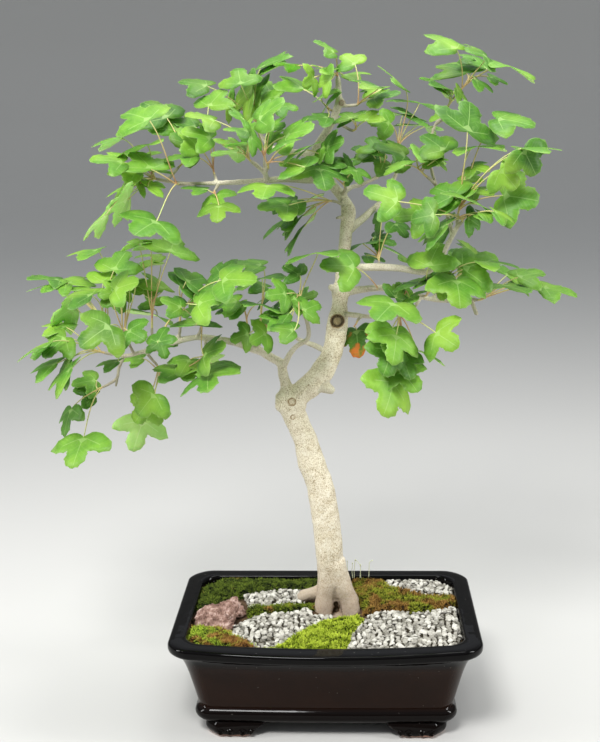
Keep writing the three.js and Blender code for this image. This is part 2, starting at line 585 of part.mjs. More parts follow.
// Each spray: the woody twig that carries it, the tip of its young stem, and its leaves.
// Twig points and stem tips are [column, row, depth]. A leaf is the picture place of its
// junction, of its middle lobe's tip and of one side lobe's tip, the depth of the junction,
// and the side that is seen where that is the underside.
const SPRAYS = {
  spray_left_tip: {
    twig: [[112, 354, 7], [106, 353, 4]],
    stem: [94, 350, -2],
    leaves: [
      [[66, 338], [41, 358], [46, 333], -12],
      [[50, 343], [14, 359], [28, 361], -34, UNDER],
      [[57, 364], [29, 369], [36, 378], -22],
      [[72, 369], [44, 387], [53, 394], -46],
      [[75, 308], [47, 323], [67, 331], 26, UNDER],
    ],
  },
  spray_left_upper: {
    twig: [[120, 355, 9], [116, 347, 16], [113, 339, 22]],
    stem: [104, 322, 26],
    leaves: [
      [[66, 285], [39, 291], [50, 280], 46],
      [[62, 284], [24, 288], [38, 281], 62],
      [[92, 296], [66, 292], [98, 283], -12],
      [[114, 271], [127, 247], [142, 267], 20],
      [[98, 251], [65, 254], [80, 257], 52],
    ],
  },
  spray_left_inner: {
    twig: [[134, 354, 8], [130, 346, -2], [127, 340, -10]],
    stem: [122, 331, -20],
    leaves: [
      [[115, 290], [139, 280], [125, 269], -34],
      [[110, 326], [78, 346], [80, 311], -60],
      [[128, 331], [146, 340], [147, 319], -48],
      [[118, 362], [94, 364], [105, 369], -30],
      [[135, 281], [107, 277], [118, 284], 4],
    ],
  },
  spray_left_rise: {
    twig: [[150, 350, 4], [152, 340, 14], [152, 330, 24]],
    stem: [152, 302, 30],
    leaves: [
      [[139, 245], [129, 238], [150, 238], 16, UNDER],
      [[160, 256], [133, 255], [146, 252], 52],
      [[170, 253], [176, 233], [201, 254], -2],
      [[163, 290], [143, 268], [172, 283], 42],
      [[143, 294], [144, 276], [159, 290], 28],
      [[156, 317], [134, 306], [175, 320], 60, UNDER],
    ],
  },
  spray_left_crown: {
    twig: [[178, 341, -6], [180, 330, -14], [180, 322, -20]],
    stem: [181, 302, -28],
    leaves: [
      [[186, 282], [208, 276], [178, 264], -40],
      [[181, 308], [160, 296], [168, 315], -52],
      [[192, 315], [194, 296], [204, 306], -8],
      [[222, 281], [258, 278], [243, 260], -66],
      [[158, 343], [166, 324], [146, 336], -70],
    ],
  },
  spray_left_bow: {
    twig: [[196, 338, -12], [200, 332, -22], [201, 328, -28]],
    stem: [202, 318, -36],
    leaves: [
      [[196, 326], [196, 314], [222, 322], -58],
      [[222, 275], [213, 263], [203, 285], 14],
      [[204, 356], [224, 344], [217, 332], -44],
    ],
  },
  spray_left_drop: {
    twig: [[205, 338, -12], [206, 346, -18], [206, 352, -22]],
    stem: [206, 358, -26],
    leaves: [
      [[190, 360], [178, 376], [205, 371], -10],
      [[209, 375], [206, 389], [238, 367], -46],
      [[208, 362], [222, 366], [219, 357], 2, UNDER],
      [[180, 372], [152, 366], [160, 380], -14],
    ],
  },
  spray_hanging_middle: {
    twig: [[145, 351, 6], [150, 357, 10], [156, 364, 12]],
    stem: [160, 371, 10],
    leaves: [
      [[143, 421], [132, 453], [167, 438], 4, UNDER],
      [[155, 394], [136, 417], [166, 418], -22],
      [[142, 359], [118, 360], [132, 366], 36],
    ],
  },
  spray_hanging_left: {
    twig: [[124, 356, 10], [119, 368, 14], [117, 378, 18], [109, 384, 20], [104, 386.5, 22]],
    stem: [98, 389, 20],
    leaves: [
      [[72, 409], [62, 436], [55, 420], 12],
      [[84, 438], [71, 469], [108, 447], -16],
      [[96, 381], [70, 383], [90, 396], 44],
    ],
  },
  spray_middle_left_low: {
    twig: [[243, 345, 0], [246, 336, -8], [247, 328, -13]],
    stem: [246, 315, -18],
    leaves: [
      [[238, 302], [205, 309], [226, 314], -24],
      [[258, 305], [280, 311], [246, 303], -46],
    ],
  },
  spray_middle_left_high: {
    twig: [[259, 351, 9], [259, 338, 20], [260, 328, 28]],
    stem: [262, 304, 34],
    leaves: [
      [[262, 279], [240, 286], [280, 274], 14],
      [[262, 264], [225, 262], [268, 255], 46],
      [[262, 318], [278, 325], [256, 331], 62],
    ],
  },
  spray_middle_left_front: {
    twig: [[254, 349, 6], [262, 340, -10], [265, 333, -20]],
    stem: [266, 325, -28],
    leaves: [
      [[249, 334], [228, 340], [238, 320], -44],
      [[285, 322], [258, 312], [270, 327], -62],
    ],
  },
  spray_fork_inner: {
    twig: [[301, 312, -28], [300, 304, -31]],
    stem: [299, 296, -34],
    leaves: [
      [[286, 294], [265, 295], [273, 276], -50],
      [[303, 311], [322, 302], [320, 322], -52],
      [[294, 331], [268, 325], [282, 341], -84],
      [[318, 254], [290, 258], [337, 250], -30, UNDER],
      [[300, 276], [282, 264], [304, 262], -12],
    ],
  },
  spray_fork_back: {
    twig: [[300, 340, 56], [295, 336, 63]],
    stem: [290, 328, 70],
    leaves: [
      [[274, 296], [256, 300], [280, 288], 86],
      [[300, 300], [318, 292], [306, 284], 96],
    ],
  },
  spray_upper_left_tip: {
    twig: [[169, 181.5, -8], [158, 179.5, -10]],
    stem: [152, 178, -13],
    leaves: [
      [[122, 139], [90, 145.5], [99, 149], 22, UNDER],
      [[148, 146], [115, 154], [165, 136], -6, UNDER],
      [[123, 163], [88, 158], [112, 173], -38],
      [[155, 172], [160, 166], [164, 171], -22],
      [[134, 185], [103, 194], [114, 196], 8],
      [[127, 200], [113, 224], [102, 209], -34, UNDER],
      [[106, 216], [79, 239], [95, 236], -60, UNDER],
      [[148, 187], [166, 184], [157, 189], -30],
    ],
  },
  spray_upper_left_back: {
    twig: [[167, 181, -8], [172, 175, 4], [178, 168, 14]],
    stem: [186, 160, 22],
    leaves: [
      [[167, 119], [142, 98], [181, 101], 46],
      [[196, 128], [171, 119], [188, 113], 62],
      [[194, 148], [170, 136], [184, 124], 28],
    ],
  },
  spray_upper_left_middle: {
    twig: [[184, 184, -7], [179, 184, -16]],
    stem: [176, 184, -26],
    leaves: [
      [[149.5, 121], [122, 109], [115, 133], -42],
      [[156.5, 222], [134, 233], [121, 211], -52],
    ],
  },
  spray_upper_left_fan: {
    twig: [[217, 183, -14], [216, 179, -8], [215, 176, -3]],
    stem: [213, 169, 4],
    leaves: [
      [[211, 139], [180, 129], [203, 121], -10],
      [[192, 157], [162, 159], [176, 152], -12],
      [[209, 107], [225, 87], [196, 98], 22],
    ],
  },
  spray_upper_left_drop: {
    twig: [[219, 183, -14], [217, 187, -24], [215, 190, -28]],
    stem: [214, 193, -32],
    leaves: [
      [[219, 206], [218, 221], [201, 204], -46],
      [[205, 190], [179, 187], [194, 193], -20],
    ],
  },
  spray_upper_bow: {
    twig: [[257, 166, -32], [251, 161, -38]],
    stem: [247, 157, -43],
    leaves: [
      [[237, 153], [210, 153], [218, 148], -52, UNDER],
      [[222, 145], [240, 141], [216, 137], -26, UNDER],
      [[250, 137], [265, 148], [255, 136], -66],
      [[248, 132], [222, 127], [236, 124], -34],
    ],
  },
  spray_upper_fan: {
    twig: [[264.8, 165, -21], [264.8, 158, -18]],
    stem: [264.8, 152, -15],
    leaves: [
      [[214, 121], [184, 112], [199, 109], -10],
      [[259, 120], [285, 98], [270, 127], -44],
      [[270, 140], [285, 137], [281, 130], 10],
      [[286, 137], [314, 126], [305, 116], -30],
      [[278, 107], [300, 107], [288, 100], -8],
    ],
  },
  spray_upper_fan_low: {
    twig: [[265, 173, -24], [268, 168, -34]],
    stem: [267, 163, -42],
    leaves: [
      [[305, 168], [279, 160], [280, 176], -54],
      [[286, 145], [279, 141], [296, 138], -70],
      [[243, 119], [229, 113], [247, 128], -58],
    ],
  },
  spray_upper_middle: {
    twig: [[261, 134, 60], [257, 126, 65]],
    stem: [254, 116, 68],
    leaves: [
      [[207, 87], [177, 78], [189, 93], 52],
      [[241, 85], [237, 65], [262, 74], 36],
      [[228, 104], [241, 110], [231, 115], 74],
      [[243, 94], [256, 92], [247, 82], 84],
      [[261, 69], [283, 50], [247, 72], 62],
      [[280, 97], [250, 100], [287, 73], 44],
      [[270, 92], [264, 80], [281, 84], 96],
    ],
  },
  spray_crown_left: {
    twig: [[337, 113, 10], [333, 111, 18]],
    stem: [328, 109, 24],
    leaves: [
      [[303, 90], [283, 72], [318, 84], 34],
      [[322, 98], [335, 86], [314, 99], 6],
      [[328, 118], [300, 119], [313, 112], -12],
    ],
  },
  spray_crown_top: {
    twig: [[338, 84, 10], [338, 78, 10]],
    stem: [337, 73, 10],
    leaves: [
      [[296, 66], [272, 62], [287, 61], 30, UNDER],
      [[334, 53], [313, 39], [327, 42], -2],
      [[332, 74], [311, 62], [322, 70], -14],
      [[331, 80], [316, 82], [325, 87], -26],
      [[344, 76], [373, 71], [358, 77], 26],
    ],
  },
  spray_crown_right: {
    twig: [[341, 106, 8], [350, 105.5, 0], [356, 105, -5]],
    stem: [360, 103, -8],
    leaves: [
      [[355, 65], [341, 53], [363, 54], -4],
      [[379, 88], [348, 77], [362, 85], -34],
      [[373, 99], [402, 92], [387, 88], -12],
      [[377, 92], [358, 90], [366, 94], 16],
    ],
  },
  spray_crown_inner: {
    twig: [[335, 120, 10], [345, 127, -2], [352, 130.5, -10]],
    stem: [356, 129, -14],
    leaves: [
      [[351, 119], [341, 110], [362, 112], -26],
      [[366, 121], [376, 108], [384, 118], -34],
    ],
  },
  spray_joint: {
    twig: [[316, 153, 12], [322, 158, 4], [325, 160, 0]],
    stem: [329, 160, -4],
    leaves: [
      [[327, 148], [344, 140], [335, 129], -10],
      [[328, 167], [335, 154], [322, 162], -20],
      [[307, 150], [301, 151], [314, 143], -16],
    ],
  },
  spray_crown_back: {
    twig: [[398, 160, 91], [398, 152, 93]],
    stem: [398, 143, 94],
    leaves: [
      [[390, 124], [366, 119], [383, 107], 80],
      [[403, 116], [428, 118], [393, 110], 108],
      [[403, 89], [375, 62], [419, 77], 86],
      [[425, 127], [398, 124], [445, 129], 116],
    ],
  },
  spray_right_behind: {
    twig: [[371, 180, 58], [378, 176, 67]],
    stem: [382, 171, 72],
    leaves: [
      [[371, 153], [350, 146], [357, 158], 60],
      [[366, 158], [342, 161], [354, 163], 84],
      [[378, 150], [368, 135], [394, 140], 44],
      [[405, 154], [408, 132], [386, 166], 30],
    ],
  },
  spray_right_riser: {
    twig: [[435, 184, 30], [431, 180, 22], [427, 177, 14]],
    stem: [418, 168, 0],
    leaves: [
      [[444, 151], [421, 132], [453, 135], -8],
      [[443, 161], [418, 148], [432, 161], 12, UNDER],
      [[405, 166], [386, 164], [414, 158], -16],
    ],
  },
  spray_top_right: {
    twig: [[438, 121, 53], [441, 116, 52]],
    stem: [471, 78, 44],
    leaves: [
      [[456, 50], [424, 29], [463, 38], 30],
      [[466, 74], [437, 63], [482, 64], 62],
      [[479, 63], [460, 52], [486, 58], 78],
      [[486, 57], [467, 48], [493, 68], 30],
      [[505, 66], [535, 75], [486, 58], 40, UNDER],
      [[475, 80], [496, 91], [483, 79], 26],
    ],
  },
  spray_top_right_low: {
    twig: [[436, 124, 54], [443, 119, 44]],
    stem: [447, 112, 38],
    leaves: [
      [[449, 90], [419, 74], [432, 81], 26],
      [[456, 89], [471, 107], [463, 88], 26],
      [[447, 113], [428, 120], [436, 112], 20],
    ],
  },
  spray_right_upper: {
    twig: [[457, 223, -31], [458, 215, -30]],
    stem: [460, 204, -30],
    leaves: [
      [[454, 197], [431, 184], [468, 177], -48],
      [[467, 132], [471, 99], [502, 138], -40],
      [[472, 148], [503, 144], [455, 148], -10, UNDER],
      [[466, 180], [480, 168], [481, 178], 0],
      [[474, 193], [495, 194], [489, 185], -18],
      [[503, 196], [541, 200], [521, 170], -36],
      [[476, 205], [452, 190], [500, 214], -68],
      [[524, 150], [565, 146], [537, 177], -60],
    ],
  },
  spray_right_upper_low: {
    twig: [[455, 229, -34], [462, 222, -44]],
    stem: [460, 217, -52],
    leaves: [
      [[467, 218], [483, 227], [472, 225], -56],
      [[494, 212], [518, 221], [505, 222], -74],
      [[435, 215], [409, 219], [424, 196], -72],
      [[447, 226], [414, 238], [425, 245], -64],
      [[398, 202], [362, 188], [392, 176], -58],
    ],
  },
  spray_right_shield: {
    twig: [[470, 299, 50], [477, 300, 46]],
    stem: [483, 299, 42],
    leaves: [
      [[518, 278], [546, 269], [540, 285], 30],
      [[504, 286], [528, 292], [485, 288], 14],
      [[543, 288], [580, 294], [556, 281], 52],
      [[506, 276], [510, 266], [525, 284], 70],
    ],
  },
  spray_right_middle: {
    twig: [[416, 295, 38], [424, 296, 30]],
    stem: [428, 293, 20],
    leaves: [
      [[430, 264], [441, 237], [406, 251], -14],
      [[484, 262], [525, 264], [486, 235], -24],
      [[422, 284], [404, 279], [440, 276], -14],
      [[453, 286], [460, 307], [490, 289], -30],
    ],
  },
  spray_right_dark: {
    twig: [[430, 299, 44], [440, 292, 54]],
    stem: [446, 284, 62],
    leaves: [
      [[475, 262], [447, 249], [461, 270], 70],
      [[478, 259], [458, 236], [461, 251], 36],
      [[470, 280], [462, 268], [478, 272], 84],
      [[392, 253], [415, 265], [378, 238], 90],
    ],
  },
  spray_right_inner: {
    twig: [[398, 290, 34], [403, 292, 24]],
    stem: [406, 291, 16],
    leaves: [
      [[395, 298], [403, 281], [390, 287], 2],
      [[410, 298], [416, 300], [404, 304], 0],
    ],
  },
  spray_right_lower: {
    twig: [[390, 316, -34], [397, 315, -41]],
    stem: [401, 313, -47],
    leaves: [
      [[394, 304], [376, 319], [358, 299], -60],
      [[396, 335], [394, 365], [369, 336], -66],
      [[397, 368], [420, 391], [427, 364], -44],
      [[392, 383], [386, 417], [361, 373], -54],
      [[436, 333], [458, 347], [459, 316], -58],
      [[418, 352], [440, 360], [405, 346], -34, UNDER],
    ],
  },
  spray_trunk_side: {
    twig: [[361, 315.8, -4], [358, 320, -10]],
    stem: [356, 324, -15],
    leaves: [
      [[356, 330], [358, 358], [381, 328], -24],
    ],
  },
  spray_trunk_front: {
    twig: [[368, 289, 22], [373, 289, 6], [377, 289, -8]],
    stem: [377, 287, -18],
    leaves: [
      [[355, 268], [318, 262], [342, 244], -32],
    ],
  },
  spray_branch_back: {
    twig: [[378, 267, -4], [379, 262, 14]],
    stem: [378, 257, 28],
    leaves: [
      [[363, 244], [377, 240], [351, 246], 36, UNDER],
      [[366, 256], [387, 260], [376, 253], 46],
      [[395, 224], [408, 238], [411, 227], 14],
      [[382, 220], [371, 217], [376, 228], 40],
    ],
  },
  spray_inner_left: {
    twig: [[345, 206, 16], [337, 202, 4], [332, 201, -6]],
    stem: [328, 201, -14],
    leaves: [
      [[268, 186], [262, 196], [294, 191], -52],
      [[288, 206], [256, 207], [268, 195], -34],
      [[290, 218], [259, 237], [272, 222], 12],
      [[305, 227], [283, 250], [310, 217], -16],
      [[304, 204], [283, 214], [322, 190], -6],
    ],
  },
  spray_inner_front: {
    twig: [[341, 196, 14], [345, 190, 2], [345, 187, -4]],
    stem: [343, 184, -10],
    leaves: [
      [[319, 169], [327, 188], [350, 177], -26],
      [[351, 170], [338, 167], [346, 162], 0],
      [[355, 170], [360, 184], [364, 176], -14],
    ],
  },
};

// Half of a three-lobed blade, from the notch at the stalk to the middle lobe, in shares
// of the middle lobe's length: [across, along, height].
const HALF_BLADE = [
  [0.5, -0.1, -0.04],
  [0.84, 0.3, -0.08],
  [0.29, 0.4, 0.02],
  [0.31, 0.72, 0],
];
const BLADE_NOTCH = [0.03, -0.03, 0];
const BLADE_TIP = [0, 1, -0.09];
const BLADE_MIDDLE = [0, 0.17, 0.01];
const RIGHT_HALF = [BLADE_NOTCH, ...HALF_BLADE];
const LEFT_HALF = RIGHT_HALF.map(([across, along, height]) => [-across, along, height]).reverse();
const BLADE_OUTLINE = [...RIGHT_HALF, BLADE_TIP, ...LEFT_HALF];
// The bud that ends a spray's stem: twenty equal faces.
const GOLDEN = (1 + Math.sqrt(5)) / 2;
const BUD_CORNERS = [
  [-1, GOLDEN, 0], [1, GOLDEN, 0], [-1, -GOLDEN, 0], [1, -GOLDEN, 0],
  [0, -1, GOLDEN], [0, 1, GOLDEN], [0, -1, -GOLDEN], [0, 1, -GOLDEN],
  [GOLDEN, 0, -1], [GOLDEN, 0, 1], [-GOLDEN, 0, -1], [-GOLDEN, 0, 1],
];
const BUD_FACES = [
  [0, 11, 5], [0, 5, 1], [0, 1, 7], [0, 7, 10], [0, 10, 11],
  [1, 5, 9], [5, 11, 4], [11, 10, 2], [10, 7, 6], [7, 1, 8],
  [3, 9, 4], [3, 4, 2], [3, 2, 6], [3, 6, 8], [3, 8, 9],
  [4, 9, 5], [2, 4, 11], [6, 2, 10], [8, 6, 7], [9, 8, 1],
];
// A side lobe's tip: its length beside the middle lobe's, and the angle between them.
const SIDE_LOBE_LENGTH = 0.9;
const SIDE_LOBE_ANGLE = (68 * Math.PI) / 180;

// Where a blade lies in space: the two tips' offsets from the junction, as they are seen,
// are turned back into a plane blade of true proportions. Of the two mirror-image answers
// the one is taken that shows the wanted side.
function bladePose([junction, tip, sideTip, depth, face = UPPER]) {
  const place = seenAt(...junction, depth);
  const sight = place.clone().sub(EYE).normalize();
  const scale = pixelSize(place);
  const offset = ([column, row]) =>
    [(column - junction[0]) * scale, (junction[1] - row) * scale];
  const [tipX, tipY] = offset(tip);
  const [sideX, sideY] = offset(sideTip);
  const tipSquare = tipX ** 2 + tipY ** 2;
  const sideSquare = sideX ** 2 + sideY ** 2;
  const cross = tipX * sideX + tipY * sideY;
  const share = SIDE_LOBE_LENGTH * Math.cos(SIDE_LOBE_ANGLE);
  const leading = SIDE_LOBE_LENGTH ** 2 - share ** 2;
  const linear = sideSquare + SIDE_LOBE_LENGTH ** 2 * tipSquare - 2 * share * cross;
  const constant = tipSquare * sideSquare - cross ** 2;
  const root = Math.sqrt(Math.max(0, linear ** 2 - 4 * leading * constant));
  const exact = Math.sqrt((linear + root) / (2 * leading));
  const length = Math.min(LEAF_LENGTH_MAX, Math.max(LEAF_LENGTH_MIN, exact));
  const tipReach = Math.sqrt(Math.max(0.01, length ** 2 - tipSquare));
  const sideReach = (share * length ** 2 - cross) / tipReach;
  const answers = [1, -1].map((sign) => {
    const along = SIGHT_RIGHT.clone().multiplyScalar(tipX)
      .addScaledVector(SIGHT_UP, tipY)
      .addScaledVector(sight, sign * tipReach)
      .normalize();
    const across = SIGHT_RIGHT.clone().multiplyScalar(sideX)
      .addScaledVector(SIGHT_UP, sideY)
      .addScaledVector(sight, sign * sideReach);
    across.addScaledVector(along, -across.dot(along)).normalize();
    const normal = new THREE.Vector3().crossVectors(across, along);
    if (normal.dot(sight) * face > 0) {
      normal.negate();
      across.negate();
    }
    return { place, along, across, normal, length };
  });
  return answers[0].normal.z > answers[1].normal.z ? answers[0] : answers[1];
}

function bladePoint({ place, along, across, normal, length }, [u, v, height], lift) {
  return place.clone()
    .addScaledVector(across, u * length)
    .addScaledVector(along, v * length)
    .addScaledVector(normal, height * length + lift);
}

// A leaf's skin, open where its stalk stands on a three-cornered root. The blade is split
// into the same triangles on both faces, and the stalk's three sides start at the notch.
function leafSkin(pose, tip, root) {
  const { along, across } = pose;
  const last = BLADE_OUTLINE.length - 1;
  const layer = (lift) => BLADE_OUTLINE.map((point) => bladePoint(pose, point, lift));
  const upper = layer(BLADE_THICKNESS / 2);
  const lower = layer(-BLADE_THICKNESS / 2);
  const [top, under] = [1, -1].map((sign) => bladePoint(pose, BLADE_MIDDLE, (sign * BLADE_THICKNESS) / 2));
  lower[0] = bladePoint(pose, [0, BLADE_NOTCH[1], 0], -BLADE_THICKNESS / 2);
  lower[last] = lower[0];
  const triangles = [[top, upper[last], upper[0]]];
  for (let k = 0; k < last; k++) {
    triangles.push([top, upper[k], upper[k + 1]], [under, lower[k + 1], lower[k]]);
    triangles.push([lower[k], lower[k + 1], upper[k + 1]], [lower[k], upper[k + 1], upper[k]]);
  }
  const notch = bladePoint(pose, [0, BLADE_NOTCH[1], 0], 0);
  const away = tip.clone().sub(notch).normalize();
  away.addScaledVector(along, -Math.max(0, away.dot(along))).normalize();
  const elbow = notch.clone().addScaledVector(along, -1.5).addScaledVector(away, 1.5);
  const turn = away.clone().addScaledVector(along, -0.6).normalize();
  const bend = ringAround(elbow, turn, across.clone(), PETIOLE_RADIUS, 3, -Math.PI / 2);
  const twist = (ring) => ring.reduce((sum, point, k) => sum + point.distanceTo(bend[k]), 0);
  const base = [0, 1, 2]
    .map((shift) => root.map((_, k) => root[(k + shift) % 3]))
    .reduce((best, ring) => (twist(ring) < twist(best) ? ring : best));
  triangles.push(...strips([[lower[0], upper[0], upper[last]], bend, base]));
  return { triangles, base, body: solidOf([...triangles, base]) };
}

// A spray: a young stem that ends in a many-sided bud, with a leaf stalk on a face for each
// leaf. Leaves that cross one of the others are fused into it.
function buildSpray({ twig, stem, leaves }) {
  const foot = seenAt(...twig.at(-1));
  const tip = seenAt(...stem);
  const ahead = tip.clone().sub(foot).normalize();
  const start = foot.clone().addScaledVector(ahead, 1.6 + GAP);
  const corners = BUD_CORNERS.map(([x, y, z]) =>
    new THREE.Vector3(x, y, z).setLength(BUD_RADIUS).add(tip));
  const free = BUD_FACES.map((face) => face.map((k) => corners[k]));
  const takeFace = (towards) => {
    const reach = (face) => face.reduce((sum, point) => sum + point.clone().sub(tip).dot(towards), 0);
    const best = free.reduce((a, b) => (reach(b) > reach(a) ? b : a));
    return free.splice(free.indexOf(best), 1)[0].reverse();
  };
  const back = takeFace(ahead.clone().negate());
  const side = back[0].clone().sub(tip);
  const cut = ringAround(start, ahead, side, STEM_RADIUS, 3);
  const clear = [];
  const crossing = [];
  leaves.map(bladePose).forEach((pose) => {
    const skin = leafSkin(pose, tip, takeFace(pose.place.clone().sub(tip).normalize()));
    const meets = clear.some(({ body }) => body.intersect(skin.body).volume() > 1e-6);
    (meets ? crossing : clear).push(skin);
  });
  const whole = solidOf([
    ...strip(cut, back),
    [...cut].reverse(),
    ...free,
    ...clear.flatMap(({ triangles }) => triangles),
    ...crossing.map(({ base }) => [...base].reverse()),
  ]);
  return join([whole, ...crossing.map(({ body }) => body)]);
}

// ---------------------------------------------------------------- assembly

const COLOURS = {
  glaze: "#14100e",
  soil: "#3a2a1e",
  moss: "#6f8f2a",
  gravel: "#b9b6b0",
  rock: "#b98a80",
  bark: "#b7a58e",
  leaf: "#6faa3a",
  screen: "#1c1c1c",
};

const tree = new THREE.Group();
tree.add(meshOf("pot", buildPot(), COLOURS.glaze, 0.15));
tree.add(meshOf("drain_screen_left", buildScreen(-DRAIN_HOLE_X), COLOURS.screen, 0.6));
tree.add(meshOf("drain_screen_right", buildScreen(DRAIN_HOLE_X), COLOURS.screen, 0.6));
tree.add(meshOf("soil", buildSoil(), COLOURS.soil, 1));
Object.entries(MOSS_BEDS).forEach(([name, outline], i) => {
  tree.add(meshOf(name, buildMoss(outline, 11 + i), COLOURS.moss, 0.9));
});
Object.entries(GRAVEL_BEDS).forEach(([name, outline], i) => {
  tree.add(meshOf(name, buildGravel(outline, 31 + i), COLOURS.gravel, 0.9));
});
tree.add(meshOf("rock", buildRock(), COLOURS.rock, 0.95));
tree.add(meshOf("trunk", buildTrunk(), COLOURS.bark, 0.85));
Object.entries(SPRAYS).forEach(([name, spray]) => {
  tree.add(meshOf(name, buildSpray(spray), COLOURS.leaf, 0.6));
});
tree.position.set(POT_CENTRE_X, POT_CENTRE_Y, 0);

const bonsai = new THREE.Group();
bonsai.add(tree);
export default bonsai;
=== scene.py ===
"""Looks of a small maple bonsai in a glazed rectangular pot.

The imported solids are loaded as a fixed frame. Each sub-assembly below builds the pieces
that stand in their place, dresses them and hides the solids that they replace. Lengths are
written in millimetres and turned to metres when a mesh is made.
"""

from __future__ import annotations

import logging
import math
import random
from collections.abc import Callable
from dataclasses import dataclass, field
from enum import Enum

import bmesh
import bpy
from mathutils import Matrix, Vector, noise
from mathutils.geometry import delaunay_2d_cdt
from mathutils.kdtree import KDTree


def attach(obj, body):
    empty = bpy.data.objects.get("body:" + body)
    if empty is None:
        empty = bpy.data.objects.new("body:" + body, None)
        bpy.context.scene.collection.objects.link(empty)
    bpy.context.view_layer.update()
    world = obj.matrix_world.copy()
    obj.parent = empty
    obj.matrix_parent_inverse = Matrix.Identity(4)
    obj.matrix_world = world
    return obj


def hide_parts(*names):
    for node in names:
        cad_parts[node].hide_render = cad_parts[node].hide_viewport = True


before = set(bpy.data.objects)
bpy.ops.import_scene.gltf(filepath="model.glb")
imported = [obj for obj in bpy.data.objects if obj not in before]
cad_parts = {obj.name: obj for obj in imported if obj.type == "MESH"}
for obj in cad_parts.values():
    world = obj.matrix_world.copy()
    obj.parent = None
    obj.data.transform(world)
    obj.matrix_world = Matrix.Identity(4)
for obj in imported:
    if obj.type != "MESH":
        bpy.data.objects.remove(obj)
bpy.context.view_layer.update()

Piece = bpy.types.Object
Material = bpy.types.Material
Socket = bpy.types.NodeSocket
Tree = bpy.types.NodeTree
# Places as they are written down, each with what the table's comment names.
Points = tuple[tuple[float, ...], ...]
# A middle line and its radii.
Route = tuple[list[Vector], list[float]]

LOG = logging.getLogger("bonsai")
MM = 0.001
BODY = "root"

# The pot's middle from the origin, and the height that the beds lie on.
POT_CENTRE = Vector((25.6, -17.2, 0.0))
BED_BASE = 95.8

# How many different stones, moss shoots and leaf blades there are.
FORM_COUNT = 8

# A tube's end ring is this share of its radius wide, and as far past its end.
END_SHARE = 0.6

# Rows of a triangular grid lie this share of its pitch apart.
ROW_STEP = 0.87

# Sockets and settings of the node that mixes colours.
MIX_A, MIX_B = 6, 7
OF_COLOURS = {"out": 2, "data_type": "RGBA"}


# ------------------------------------------------------------------ small helpers


def linear(code: str) -> tuple[float, float, float, float]:
    """Turns an sRGB hex value to linear light.

    Args:
        code: The colour as #rrggbb.

    Returns:
        Red, green, blue and an alpha of one.
    """
    levels = [int(code[i : i + 2], 16) / 255 for i in (1, 3, 5)]
    red, green, blue = (v / 12.92 if v <= 0.04045 else ((v + 0.055) / 1.055) ** 2.4 for v in levels)
    return red, green, blue, 1.0


def per_mm(size: float) -> float:
    """Returns the texture scale whose cells are this many millimetres wide."""
    return 1.0 / (size * MM)


@dataclass
class Net:
    """A node tree that is being built."""

    tree: Tree

    def add(
        self,
        kind: str,
        sockets: dict[str | int, object] | None = None,
        out: str | int = 0,
        stops: tuple[tuple[float, str], ...] = (),
        **settings: object,
    ) -> Socket | None:
        """Adds a node with its settings, its input values and its links.

        Args:
            kind: The node's type name, cut short where it starts with ShaderNode.
            sockets: For each input, a value, a hex colour, the output that feeds it, or a
                list of such outputs.
            out: The output that is asked for.
            stops: Position and hex colour of each stop, for a colour ramp.
            **settings: Properties of the node.

        Returns:
            That output, or None where the node has none.
        """
        node = self.tree.nodes.new(kind if "Node" in kind else f"ShaderNode{kind}")
        for name, value in settings.items():
            setattr(node, name, value)
        for key, values in (sockets or {}).items():
            for value in values if isinstance(values, list) else [values]:
                if isinstance(value, Socket):
                    self.tree.links.new(value, node.inputs[key])
                elif isinstance(value, str) and value.startswith("#"):
                    node.inputs[key].default_value = linear(value)
                else:
                    node.inputs[key].default_value = value
        if stops:
            elements = node.color_ramp.elements
            while len(elements) < len(stops):
                elements.new(0.5)
            for element, (position, code) in zip(elements, stops):
                element.position = position
                element.color = linear(code)
        return node.outputs[out] if len(node.outputs) else None


def start_tree(name: str, inputs: dict[str, str]) -> tuple[Net, bpy.types.NodeOutputs]:
    """Starts a geometry tree with named inputs.

    Args:
        name: The tree's name.
        inputs: Label and socket type of each input after the geometry.

    Returns:
        The tree and what its inputs give.
    """
    tree = bpy.data.node_groups.new(name, "GeometryNodeTree")
    tree.interface.new_socket("Geometry", in_out="INPUT", socket_type="NodeSocketGeometry")
    for label, kind in inputs.items():
        tree.interface.new_socket(label, in_out="INPUT", socket_type=kind)
    tree.interface.new_socket("Geometry", in_out="OUTPUT", socket_type="NodeSocketGeometry")
    net = Net(tree)
    return net, net.add("NodeGroupInput").node.outputs


def settle(piece: Piece) -> None:
    """Turns what the modifiers give into the piece's plain mesh."""
    graph = bpy.context.evaluated_depsgraph_get()
    mesh = bpy.data.meshes.new_from_object(
        piece.evaluated_get(graph), preserve_all_data_layers=True, depsgraph=graph
    )
    piece.modifiers.clear()
    old = piece.data
    piece.data = mesh
    bpy.data.meshes.remove(old)


def run_tree(piece: Piece, tree: Tree, values: dict[str, object]) -> None:
    """Runs a geometry tree on a piece and keeps the result as its mesh.

    Args:
        piece: The piece whose mesh feeds the tree.
        tree: The geometry tree.
        values: The value of each named input.
    """
    modifier = piece.modifiers.new(tree.name, "NODES")
    modifier.node_group = tree
    for item in tree.interface.items_tree:
        if item.in_out == "INPUT" and item.name in values:
            modifier[item.identifier] = values[item.name]
    settle(piece)


def finish_piece(piece: Piece, slot: str, *nodes: str) -> None:
    """Rides a piece on the body, hides the solids that it replaces, and reports its face count.

    Args:
        piece: The finished piece.
        slot: The material slot; not used.
        *nodes: The solids that the piece stands for.
    """
    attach(piece, BODY)
    if nodes:
        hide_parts(*nodes)
    LOG.info("%s: %d faces", piece.name, len(piece.data.polygons))


